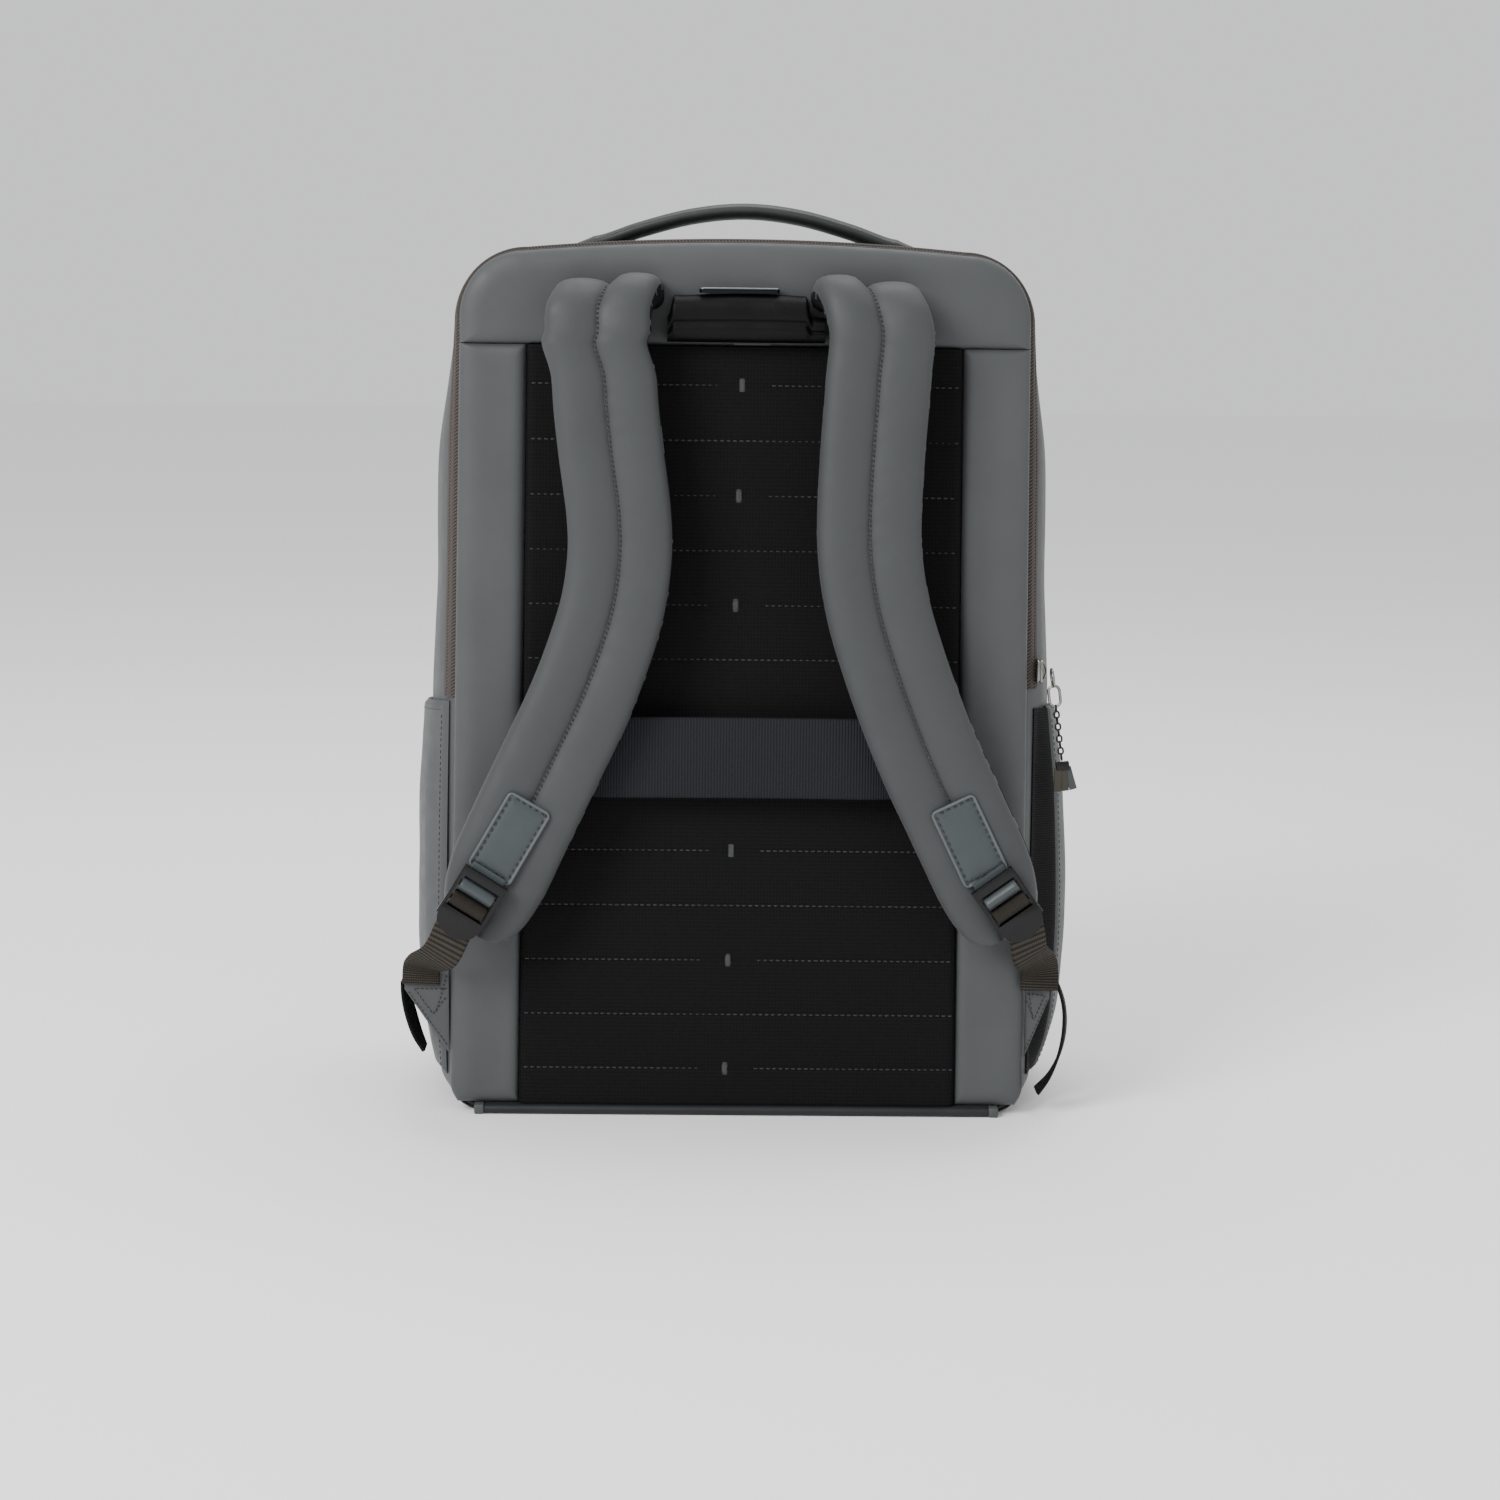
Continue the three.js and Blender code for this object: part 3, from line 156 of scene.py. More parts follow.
def edge_normal(t):
    (x0, z0), (x1, z1) = edge_place(BACK_EDGE, t - 0.4), edge_place(BACK_EDGE, t + 0.4)
    length = math.hypot(x1 - x0, z1 - z0)
    return (z1 - z0) / length, (x0 - x1) / length


def front_depth(z):
    return mix(DEPTH_AT_BASE, DEPTH_AT_TOP, z / FRONT_EDGE["height"])


def gusset_place(t, share, outwards=0.0):
    """A place on the gusset in millimetres, share 0 at the back seam and 1 at the front seam."""
    bx, bz = edge_place(BACK_EDGE, t)
    fx, fz = edge_place(FRONT_EDGE, t)
    nx, nz = edge_normal(t)
    swell = eased(GUSSET_SWELL, share)
    side = SIDE_SWELL * eased(SIDE_FULLNESS, bz / BACK_EDGE["height"])
    x = mix(bx, fx, share) + nx * (swell * side + outwards)
    z = mix(bz, fz, share) + nz * outwards + max(nz, 0) * swell * TOP_SWELL
    return x, mix(GUSSET_BACK, front_depth(mix(bz, fz, share)), share), z


def creases(x, y, z):
    """Soft unevenness of empty cloth, in millimetres: broad dents, and slanting creases near the base."""
    broad = noise.noise(Vector((x / 95, y / 60 + 3, z / 120)))
    slanting = noise.noise(Vector(((x + z * 0.6) / 26, y / 34, (z - y * 0.5) / 46)))
    return 0.9 * broad + 0.55 * slanting * (1 - smooth_step(z, 40, 170))


def grid(name, columns, rows, place, size=None):
    """A sheet of mesh shaped by place(u, v) in millimetres, with a UV map in metres."""
    bpy.ops.object.select_all(action="DESELECT")
    bpy.ops.mesh.primitive_grid_add(x_subdivisions=columns, y_subdivisions=rows, size=2)
    piece = bpy.context.object
    piece.name = name
    for vertex in piece.data.vertices:
        vertex.co = at(*place((vertex.co.x + 1) / 2, (vertex.co.y + 1) / 2))
    width, length = size or (1, 1)
    for loop in piece.data.uv_layers[0].data:
        loop.uv = (loop.uv[0] * width / 1000, loop.uv[1] * length / 1000)
    return piece


def apply_modifier(piece, kind, **settings):
    bpy.context.view_layer.objects.active = piece
    modifier = piece.modifiers.new(kind.lower(), kind)
    for key, value in settings.items():
        setattr(modifier, key, value)
    bpy.ops.object.modifier_apply(modifier=modifier.name)


def edit(piece, *steps):
    """Runs edit-mode operators on one piece, everything of it selected at the start."""
    bpy.ops.object.select_all(action="DESELECT")
    piece.select_set(True)
    bpy.context.view_layer.objects.active = piece
    bpy.ops.object.mode_set(mode="EDIT")
    bpy.ops.mesh.select_all(action="SELECT")
    for step in steps:
        step()
    bpy.ops.object.mode_set(mode="OBJECT")


def face_outwards(piece):
    edit(piece, lambda: bpy.ops.mesh.remove_doubles(threshold=2e-6),
         lambda: bpy.ops.mesh.normals_make_consistent(inside=False))


def shade(piece, angle=40):
    bpy.ops.object.select_all(action="DESELECT")
    piece.select_set(True)
    bpy.context.view_layer.objects.active = piece
    bpy.ops.object.shade_smooth_by_angle(angle=math.radians(angle))


def place_material(piece, finish):
    piece.data.materials.clear()
    piece.data.materials.append(finish)


def belong(piece, slot, *nodes):
    """Ties a piece to the bag's one body and hides the nodes it stands for; slot is not used."""
    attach(piece, "root")
    if nodes:
        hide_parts(*nodes)


def dress(piece, angle, finish, slot, *nodes):
    """Smooths a finished piece, gives it its material, unless it has its own, and ties it in."""
    shade(piece, angle)
    if finish:
        place_material(piece, finish)
    belong(piece, slot, *nodes)


def linear(hex_colour, gain=1.0):
    """An sRGB hex colour as linear red, green and blue, times a gain, and full alpha."""
    values = [int(hex_colour[k:k + 2], 16) / 255 for k in (1, 3, 5)]
    return (*[gain * (v / 12.92 if v <= 0.04045 else ((v + 0.055) / 1.055) ** 2.4) for v in values], 1)


def new_finish(name, **settings):
    """A material with one Principled shader, and its uniform values set on the shader's own sockets."""
    finish = bpy.data.materials.new(name)
    finish.use_nodes = True
    shader = finish.node_tree.nodes["Principled BSDF"]
    for key, value in settings.items():
        shader.inputs[key.replace("_", " ")].default_value = value
    return finish, finish.node_tree, shader


def add_node(tree, kind, links=(), out=(), sockets=(), **settings):
    """Adds a node: links bring (socket, source) in, out takes (output, socket it feeds), sockets are numbered
    values, and settings are its own properties or named values."""
    node = tree.nodes.new("ShaderNode" + kind)
    for key, value in settings.items():
        if hasattr(node, key):
            setattr(node, key, value)
        else:
            node.inputs[key.replace("_", " ")].default_value = value
    for number, value in dict(sockets).items():
        node.inputs[number].default_value = value
    for socket, source in links:
        tree.links.new(source, node.inputs[socket])
    for output, target in out:
        tree.links.new(node.outputs[output], target)
    return node


# Coated polyester: a tight 300-denier plain weave under a matt polyurethane film. The film hides the threads,
# so the eye gets a smooth, faintly mottled grey with a dull sheen and only a trace of the weave.
def coated_polyester(name, dark, light, roughness=0.56):
    finish, tree, shader = new_finish(name, Specular_IOR_Level=0.3, Sheen_Weight=0.06, Sheen_Roughness=0.45)
    where = add_node(tree, "TexCoord")
    object_place = where.outputs["Object"]
    mottle = add_node(tree, "TexNoise", [("Vector", object_place)], Scale=22.0, Detail=4.0, Roughness=0.55)
    colour = add_node(tree, "MapRange", [("Value", mottle.outputs["Fac"])], From_Min=0.3, From_Max=0.7)
    add_node(tree, "Mix", [("Factor", colour.outputs["Result"])], [(2, shader.inputs["Base Color"])],
             {6: linear(dark), 7: linear(light)}, data_type="RGBA")
    # threads are 0.2 mm apart, drawn at 0.5 mm so that they still show a little
    grain = add_node(tree, "TexNoise", [("Vector", object_place)], Scale=1900.0, Detail=2.0, Roughness=0.6)
    rumple = add_node(tree, "TexNoise", [("Vector", object_place)], Scale=120.0, Detail=3.0, Roughness=0.5)
    heights = add_node(tree, "Math", [(0, grain.outputs["Fac"]), (1, rumple.outputs["Fac"])], operation="ADD")
    add_node(tree, "Bump", [("Height", heights.outputs[0])], [("Normal", shader.inputs["Normal"])],
             Strength=0.12, Distance=0.0006)
    add_node(tree, "MapRange", [("Value", rumple.outputs["Fac"])], [("Result", shader.inputs["Roughness"])],
             From_Min=0.3, From_Max=0.7, To_Min=roughness - 0.05, To_Max=roughness + 0.06)
    return finish


grey_polyester = coated_polyester("coated_polyester_grey", "#3d3f40", "#414344")


def crowded(v, ease=0.75):
    """Shares from 0 to 1 that crowd towards both ends, where cloth rolls in at a seam."""
    return mix(v, 0.5 - 0.5 * math.cos(math.pi * v), ease)


def gusset_skin(u, v):
    share = crowded(v, 0.6)
    t = u * PLACES
    x, y, z = gusset_place(t, share)
    inner = smooth_step(share, 0.02, 0.2) * (1 - smooth_step(share, 0.85, 0.99))
    roll_in = -1.3 * (1 - smooth_step(share, 0.0, 0.012)) - 1.6 * smooth_step(share, 0.975, 1.0)
    base = 1 - smooth_step(z, 2, 14)
    wave = creases(x, y, z) * inner * (1 - base)
    return gusset_place(t, share, wave + roll_in * (1 - base))


gusset = grid("gusset_cover", 368, 44, gusset_skin, size=(1160, 150))
face_outwards(gusset)
apply_modifier(gusset, "SOLIDIFY", thickness=CLOTH_WALL / 1000, offset=-1, use_even_offset=True)
dress(gusset, 50, grey_polyester, "coated_cloth",
      "side_panel_right", "top_panel", "side_panel_left", "base_panel")

# Front panel: the crowned lid on the far side from the wearer
# One sheet of the same coated polyester over thin foam, its edge turned under along the front seam.
# It swells a little towards its middle and shows only soft dents.
FRONT_CROWN = 9
FRONT_WALL = 3
FRONT_RIM = 2.4


def front_skin(u, v):
    t = u * PLACES
    share = 1 - v
    fx, fz = edge_place(FRONT_EDGE, t)
    centre = FRONT_EDGE["height"] / 2
    z = mix(centre, fz, share)
    x = fx * share
    rim = FRONT_RIM * smooth_step(share, 0.955, 1.0)
    dent = creases(x + 400, 0, z) * (1 - smooth_step(share, 0.85, 0.97))
    return x, front_depth(z) + 0.3 + FRONT_WALL + FRONT_CROWN * (1 - share**2.5) - rim + dent, z


front = grid("front_panel_cover", 184, 46, lambda u, v: front_skin(u, 0.985 * v**1.3), size=(1140, 220))
edit(front, lambda: bpy.ops.mesh.remove_doubles(threshold=2e-6))


def fill_near(piece, inside):
    """Closes the open loop whose vertices satisfy inside(co)."""
    mesh = bmesh.new()
    mesh.from_mesh(piece.data)
    edges = [e for e in mesh.edges if e.is_boundary and all(inside(v.co) for v in e.verts)]
    made = bmesh.ops.holes_fill(mesh, edges=edges, sides=0)
    bmesh.ops.triangulate(mesh, faces=made["faces"])
    mesh.to_mesh(piece.data)
    mesh.free()


fill_near(front, lambda co: abs(co.x - middle_x) < 0.05 and abs(co.z - FRONT_EDGE["height"] / 2000) < 0.05)
edit(front, lambda: bpy.ops.mesh.normals_make_consistent(inside=False))
if sum(p.normal.y * p.area for p in front.data.polygons) < 0:
    edit(front, lambda: bpy.ops.mesh.flip_normals())
apply_modifier(front, "SOLIDIFY", thickness=CLOTH_WALL / 1000, offset=-1)
dress(front, 50, grey_polyester, "coated_cloth", "front_panel")

# Grey back pads: the yoke over the shoulders and a strip down each side of the mesh
# Coated polyester over foam, sewn into the side seam with a rolled edge; the straps press into the yoke.
PAD_BACK = 8
PAD_CROWN = 2
EDGE_ROLL = 3.2
PAD_FOOT = 5.3
YOKE_SEAM = 388
MESH_HALF_TOP = 107
MESH_HALF_BASE = 111
SEAM_GAP = 0.3
ROOT_PRESS = 1.2
ROOT_AT = (62, 404)
FAR_OFF = 99


def mesh_half(z):
    return mix(MESH_HALF_BASE, MESH_HALF_TOP, z / YOKE_SEAM)


def back_half(z):
    """Half width of the back edge at a height, with its rounded corners."""
    edge = BACK_EDGE
    shoulder = shoulder_height(edge)
    half = mix(edge["half_base"], edge["half_top"], clamp(z / shoulder))
    if z < edge["base_radius"]:
        drop = edge["base_radius"] - z
        return half - edge["base_radius"] + math.sqrt(max(edge["base_radius"] ** 2 - drop**2, 0))
    return half


def rolled(distance, reach=9.0, crown=PAD_CROWN, low=EDGE_ROLL):
    """Depth of a pad's face at a distance from its edge: rolled in at the seam, then nearly flat."""
    share = clamp(distance / reach)
    return low - (low + crown) * math.sqrt(1 - (1 - share) ** 2.4)


def close_back(piece, back_of):
    """Gives a pad or tab its flat back: the open edge is carried to back_of(its depth) and filled."""
    mesh = bmesh.new()
    mesh.from_mesh(piece.data)
    bmesh.ops.remove_doubles(mesh, verts=mesh.verts, dist=2e-6)
    rim = [e for e in mesh.edges if e.is_boundary]
    made = bmesh.ops.extrude_edge_only(mesh, edges=rim)["geom"]
    for vertex in [g for g in made if isinstance(g, bmesh.types.BMVert)]:
        vertex.co.y = back_of(vertex.co.y)
    bmesh.ops.holes_fill(mesh, edges=[e for e in mesh.edges if e.is_boundary], sides=0)
    bmesh.ops.recalc_face_normals(mesh, faces=mesh.faces)
    mesh.to_mesh(piece.data)
    mesh.free()


def finish_pad(piece, node, finish, slot):
    close_back(piece, lambda depth: wearer_y + PAD_BACK / 1000)
    dress(piece, 50, finish, slot, node)


def yoke_skin(u, v):
    t = mix(SIDE_END, PLACES - SIDE_END, crowded(u, 0.5))
    x, top = edge_place(BACK_EDGE, t)
    foot = YOKE_SEAM + SEAM_GAP / 2
    share = crowded(v)
    z = mix(foot, top, share)
    to_side = BACK_EDGE["half_top"] - abs(x)
    radius = BACK_EDGE["top_radius"]
    flat = BACK_EDGE["half_top"] - radius
    corner = max(0, abs(x) - flat), max(0, z - shoulder_height(BACK_EDGE))
    arc = radius - math.hypot(*corner) if min(corner) > 0 else FAR_OFF
    distance = min(to_side if corner[0] > 0 and corner[1] <= 0 else FAR_OFF, arc,
                   top - z if abs(x) <= flat else FAR_OFF, FAR_OFF if z < top else 0)
    seam = z - foot
    y = rolled(max(distance, 0), reach=12)
    y = max(y, rolled(max(seam, 0), reach=7, low=1.6))
    pull = sum(ROOT_PRESS * math.exp(-((x - side * ROOT_AT[0]) / 26) ** 2 - ((z - ROOT_AT[1]) / 13) ** 2)
               for side in (-1, 1))
    inner = clamp(min(distance, seam) / 12)
    wave = 0.7 * noise.noise(Vector((x / 60, 1.7, z / 30)))
    wave += 0.25 * noise.noise(Vector((x / 14, 4.1, z / 17)))
    return x, y + pull * inner + wave * inner, z


yoke = grid("yoke_pad_cover", 220, 36, yoke_skin, size=(280, 50))
finish_pad(yoke, "yoke_pad", grey_polyester, "coated_cloth")


def strip_skin(side):
    def skin(u, v):
        z = mix(PAD_FOOT, YOKE_SEAM - SEAM_GAP / 2, crowded(v, 0.35))
        inner, outer = mesh_half(z) + SEAM_GAP, back_half(z)
        share = crowded(u)
        x = mix(inner, outer, share)
        y = rolled(outer - x, reach=13)
        y = max(y, rolled(x - inner, reach=6, low=2.4))
        y = max(y, rolled(z - PAD_FOOT, reach=10))
        y = max(y, rolled(YOKE_SEAM - z, reach=7, low=1.6))
        edge = clamp(min(outer - x, x - inner, z - PAD_FOOT) / 10)
        long_wave = 0.9 * noise.noise(Vector((x / 30 + side * 7, 2.2, z / 85)))
        short = 0.5 * noise.noise(Vector((x / 18, side * 3, z / 30))) * (1 - smooth_step(z, 60, 150))
        return side * x, y + (long_wave + short) * edge, z
    return skin


for word, side in (("left", -1), ("right", 1)):
    strip = grid(f"strip_pad_cover_{word}", 20, 190, strip_skin(side), size=(37, 383))
    finish_pad(strip, f"strip_pad_{word}", grey_polyester, "coated_cloth")

# Mesh back panel: black knitted spacer mesh over foam
# It is quilted by straight rows of dashes, so that it stands up in soft ridges between the rows;
# every other row is left open in the middle, where a small grey bar-tack holds it down.
CHANNEL_DEPTH = 2.4
CHANNELS = [369 - 27.1 * k for k in range(6)] + [137 - 28.1 * k for k in range(5)]
TACK_ROWS = CHANNELS[::2]
TACK_X = [-1.5, -2.5, -3.5, -4.3, -5.3, -6.3]


def spacer_mesh():
    finish, tree, shader = new_finish("black_spacer_mesh", Roughness=0.95, Specular_IOR_Level=0.1)
    where = add_node(tree, "TexCoord").outputs["Object"]
    # knitted eyelets, 1.6 mm apart across and 2 mm apart down, each painted darker towards its middle as
    # shade in the hole
    spread = add_node(tree, "Mapping", [("Vector", where)], vector_type="POINT", Scale=(620, 40, 500))
    cells = add_node(tree, "TexVoronoi", [("Vector", spread.outputs[0])], Scale=1.0, Randomness=0.12)
    eyelets = add_node(tree, "MapRange", [("Value", cells.outputs["Distance"])], From_Min=0.1, From_Max=0.55)
    add_node(tree, "Mix", [("Factor", eyelets.outputs["Result"])], [(2, shader.inputs["Base Color"])],
             {6: linear("#060607"), 7: linear("#121213")}, data_type="RGBA")
    add_node(tree, "Bump", [("Height", eyelets.outputs["Result"])], [("Normal", shader.inputs["Normal"])],
             Strength=0.35, Distance=0.0004)
    return finish


black_mesh = spacer_mesh()


def mesh_skin(u, v):
    z = mix(PAD_FOOT, YOKE_SEAM - SEAM_GAP / 2, v)
    half = mesh_half(z)
    share = 2 * crowded(u, 0.4) - 1
    x = share * half
    seams = [YOKE_SEAM, *CHANNELS, PAD_FOOT]
    above = min((s for s in seams if s >= z), default=YOKE_SEAM)
    below = max((s for s in seams if s <= z), default=PAD_FOOT)
    nearest = min(above - z, z - below)
    ridge = math.sqrt(1 - (1 - clamp(nearest / 8)) ** 2.2)
    open_middle = math.exp(-((x + 3) / 16) ** 2) * any(abs(row - z) < 9 for row in TACK_ROWS)
    rise = max(ridge, 0.75 * open_middle * (1 - math.exp(-(((x + 3) / 4) ** 2)))) if nearest < 8 else ridge
    edge = math.sqrt(1 - (1 - clamp((half - abs(x)) / 5)) ** 2)
    wave = 0.35 * noise.noise(Vector((x / 40, 9, z / 25)))
    return x, 1.2 * (1 - edge) - (CHANNEL_DEPTH * (0.55 + 0.45 * rise) + wave) * edge, z


mesh_panel = grid("mesh_panel_cover", 96, 380, mesh_skin, size=(220, 383))
finish_pad(mesh_panel, "mesh_panel", black_mesh, "air_mesh")

# Shoulder straps: two long foam pads with a stitched seam down the middle
# Grey coated polyester in front and black spacer mesh behind, joined along each edge.
# They rise from the yoke seam in a short arch, hang down, and curve out to the buckles.
STRAP_WIDTH = 51
STRAP_THICKNESS = 15
STRAP_FORWARD = 29
STRAP_ROOT = 405.5
STRAP_SEAM = 3.4
HALF_MEAN = 143
STRAP_ARCH = [(0.13, 6, 0.385), (0.4, 7.2, 0.39), (0.68, 6.2, 0.402), (0.91, 0, 0.425), (1, -10, 0.446)]
STRAP_ROUTE = [(0.888, 0.475, 0.449, 1), (0.833, 0.473, 0.443, 1), (0.776, 0.455, 0.432, 1),
               (0.702, 0.425, 0.424, 1), (0.658, 0.421, 0.429, 1), (0.601, 0.443, 0.458, 1),
               (0.543, 0.495, 0.512, 1), (0.483, 0.566, 0.58, 1), (0.423, 0.652, 0.657, 1),
               (0.364, 0.737, 0.745, 1), (0.29, 0.838, 0.85, 0.97), (0.226, 0.909, 0.913, 0.93)]


def curve_place(points, share):
    """A place on a smooth curve through the points (centripetal, so that it doesn't overshoot)."""
    last = len(points) - 1
    along = share * last
    k = min(int(along), last - 1)
    weight = along - k
    p1, p2 = points[k], points[k + 1]
    p0 = points[k - 1] if k > 0 else p1 * 2 - p2
    p3 = points[k + 2] if k + 2 <= last else p2 * 2 - p1
    d0, d1, d2 = [max((b - a).length, 1e-4) ** 0.5 for a, b in ((p0, p1), (p1, p2), (p2, p3))]
    m1 = ((p1 - p0) / d0 - (p2 - p0) / (d0 + d1) + (p2 - p1) / d1) * d1
    m2 = ((p2 - p1) / d1 - (p3 - p1) / (d1 + d2) + (p3 - p2) / d2) * d1
    s = weight
    return ((2 * s**3 - 3 * s**2 + 1) * p1 + (s**3 - 2 * s**2 + s) * m1
            + (3 * s**2 - 2 * s**3) * p2 + (s**3 - s**2) * m2)


def path_frames(points, count, across_at):
    """Frames along a curve: place, direction, width direction and facing direction."""
    frames = []
    for k in range(count + 1):
        share = k / count
        place = curve_place(points, share)
        reach = 0.25 / count
        before, after = curve_place(points, max(share - reach, 0)), curve_place(points, min(share + reach, 1))
        along = (after - before).normalized()
        across = Vector(across_at(share))
        across = (across - along * across.dot(along)).normalized()
        frames.append([place, along, across, along.cross(across).normalized()])
    return frames


def strap_frames(side, count):
    column = 1 if side < 0 else 2
    points = [Vector((side * out * HALF_MEAN, -forward * STRAP_FORWARD, STRAP_ROOT + rise))
              for forward, rise, out in STRAP_ARCH]
    points += [Vector((side * row[column] * HALF_MEAN, -row[3] * STRAP_FORWARD, row[0] * BACK_EDGE["height"]))
               for row in STRAP_ROUTE]
    frames = path_frames(points, count, lambda share: (1, 0, 0))
    for frame_row in frames:
        place, along, across, facing = frame_row
        square = smooth_step(STRAP_ROOT - place.z, 15, 60)
        turned = Vector((along.x * square, along.y, along.z)).normalized()
        across = (Vector((1, 0, 0)) - turned * turned.x).normalized()
        frame_row[2] = across
        frame_row[3] = turned.cross(across).normalized()
    return frames


# Half section from the middle of the lining round the edge to the seam: share of half width, share of half
# thickness forwards
STRAP_SECTION = [(0, -0.86), (0.3, -0.95), (0.62, -0.97), (0.84, -0.9), (0.955, -0.68), (1, -0.36), (1, 0.0),
                 (0.985, 0.34), (0.93, 0.66), (0.83, 0.86), (0.7, 0.965), (0.54, 1), (0.38, 0.975),
                 (0.24, 0.9), (0.13, 0.8), (0.06, 0.68), (0.02, 0.57), (0, 0.547)]


def closed_tube(name, rings, uv_size, cap=True):
    """A closed tube of mesh through rings of places (all with the same count), its ends filled."""
    count, around = len(rings), len(rings[0])

    def skin(u, v):
        ring = rings[round(v * (count - 1))]
        return ring[round(u * around) % around]

    piece = grid(name, around, count - 1, skin, size=uv_size)
    mesh = bmesh.new()
    mesh.from_mesh(piece.data)
    bmesh.ops.remove_doubles(mesh, verts=mesh.verts, dist=2e-6)
    if cap:
        rim = [e for e in mesh.edges if e.is_boundary]
        made = bmesh.ops.holes_fill(mesh, edges=rim, sides=0)["faces"]
        bmesh.ops.triangulate(mesh, faces=made)
    bmesh.ops.recalc_face_normals(mesh, faces=mesh.faces)
    mesh.to_mesh(piece.data)
    mesh.free()
    return piece


strap_lines = {}
strap_polyester = coated_polyester("coated_polyester_straps", "#353738", "#383a3b")
ROOT_SPREAD = {-1: 10.5, 1: 2.0}
INNER_ARCH = 3.0
LINING_SHARE = 0.02
END_FRAMES = 17.6
END_TAPER = 0.42
STRAP_RING = STRAP_SECTION + [(-across_share, face) for across_share, face in STRAP_SECTION[-2:0:-1]]


def at_root(place, side, across_share):
    """Spreads the strap's root outwards, and arches the lobe nearer the neck a little higher."""
    spread = ROOT_SPREAD[side] * smooth_step(place.z, 371, 408)
    arch = INNER_ARCH * smooth_step(place.z, 398, 420) * smooth_step(-across_share * side, 0.0, 0.3)
    return place + Vector((side * spread, 0, arch))


for word, side in (("left", -1), ("right", 1)):
    frames = strap_frames(side, 200)
    rings, seam_line = [], []
    length = 0
    for k, (place, along, across, facing) in enumerate(frames):
        if k:
            length += (place - frames[k - 1][0]).length
        left = (len(frames) - 1 - k) / END_FRAMES
        taper = mix(END_TAPER, 1, 1 if left >= 1 else math.sqrt(max(1 - (1 - left) ** 2, 0)))
        width = STRAP_WIDTH / 2 * taper
        thick = STRAP_THICKNESS / 2 * (0.86 + 0.14 * min(1, taper + 0.2))
        ring = []
        for across_share, face in STRAP_RING:
            swell = 0.35 * noise.noise(Vector((across_share * 1.1 + side * 5, length / 34, face)))
            pucker = 0.28 * noise.noise(Vector((side * 9, length / 5.5, across_share * 1.4))) * (
                smooth_step(1 - abs(across_share), 0.0, 0.3) * (1 - smooth_step(abs(across_share), 0.1, 0.7)))
            lift = face * thick + (swell + pucker) * (1 if face > 0 else 0.3)
            ring.append(at_root(place + across * (across_share * width) + facing * lift, side, across_share))
        rings.append(ring)
        seam_line.append((at_root(place + facing * (thick - STRAP_SEAM), side, 0), along, facing))
    strap = closed_tube(f"shoulder_strap_cover_{word}", rings, (130, length))
    place_material(strap, strap_polyester)
    strap.data.materials.append(black_mesh)
    for face in strap.data.polygons:
        heights = [STRAP_RING[k % len(STRAP_RING)][1] for k in face.vertices]
        if sum(heights) / len(heights) < LINING_SHARE:
            face.material_index = 1
    dress(strap, 60, None, "coated_cloth", f"shoulder_strap_{word}")
    strap_lines[word] = seam_line

# Thread: fine twisted black polyester, laid in even stitches that sink a little into the cloth
# The first rows run down the middle seam of each shoulder strap.
def thread(name, hex_colour):
    finish, tree, shader = new_finish(name, Roughness=0.7, Sheen_Weight=0.3, Sheen_Roughness=0.4)
    where = add_node(tree, "TexCoord").outputs["Object"]
    twist = add_node(tree, "TexNoise", [("Vector", where)], Scale=2400.0, Detail=1.0)
    add_node(tree, "Mix", [("Factor", twist.outputs["Fac"])], [(2, shader.inputs["Base Color"])],
             {6: linear(hex_colour, 0.6), 7: linear(hex_colour, 1.5)}, data_type="RGBA")
    return finish


black_thread = thread("black_polyester_thread", "#070707")


def resampled(places, pitch):
    """Places along a polyline at an even pitch, with their direction."""
    found, carried = [], pitch / 2
    for a, b in zip(places, places[1:]):
        span = (b - a).length
        while carried <= span:
            found.append((a + (b - a) * (carried / span), (b - a).normalized()))
            carried += pitch
        carried -= span
    return found


def stitch_row(name, lines, pitch, length, width, finish, slot, facing, sides=6):
    """One mesh of capsule stitches along lines in millimetres; facing(place) is the cloth's outward side."""
    bpy.ops.object.select_all(action="DESELECT")
    bpy.ops.mesh.primitive_uv_sphere_add(segments=sides, ring_count=4, radius=0.5)
    model = bpy.context.object
    model.rotation_euler = (0, math.pi / 2, 0)
    bpy.ops.object.transform_apply(location=False, rotation=True, scale=False)
    vertices = np.array([v.co for v in model.data.vertices])
    faces = [tuple(p.vertices) for p in model.data.polygons]
    all_places, all_faces = [], []
    for line in lines:
        for place, along in resampled(line, pitch):
            out = Vector(facing(place)).normalized()
            side = out.cross(along).normalized()
            out = along.cross(side)
            turn = np.array([along * length, side * width, out * width]).T
            base = len(all_places)
            centre = np.array(place)
            all_places.extend(at(*row) for row in (vertices @ turn.T + centre))
            all_faces.extend(tuple(base + k for k in face) for face in faces)
    model.data.clear_geometry()
    model.data.from_pydata([tuple(p) for p in all_places], [], all_faces)
    model.name = name
    dress(model, 60, finish, slot)
    return model


for word in ("left", "right"):
    frames_line = strap_lines[word]
    first = next(k for k, row in enumerate(frames_line) if row[0].y < -18)
    line = [row[0] + row[2] * 0.95 for row in frames_line[first:]]

    def strap_out(place):
        return min(frames_line, key=lambda row: (row[0] - place).length_squared)[2]

    stitch_row(f"strap_seam_stitches_{word}", [line], 2.4, 1.75, 0.95, black_thread, "air_mesh", strap_out)

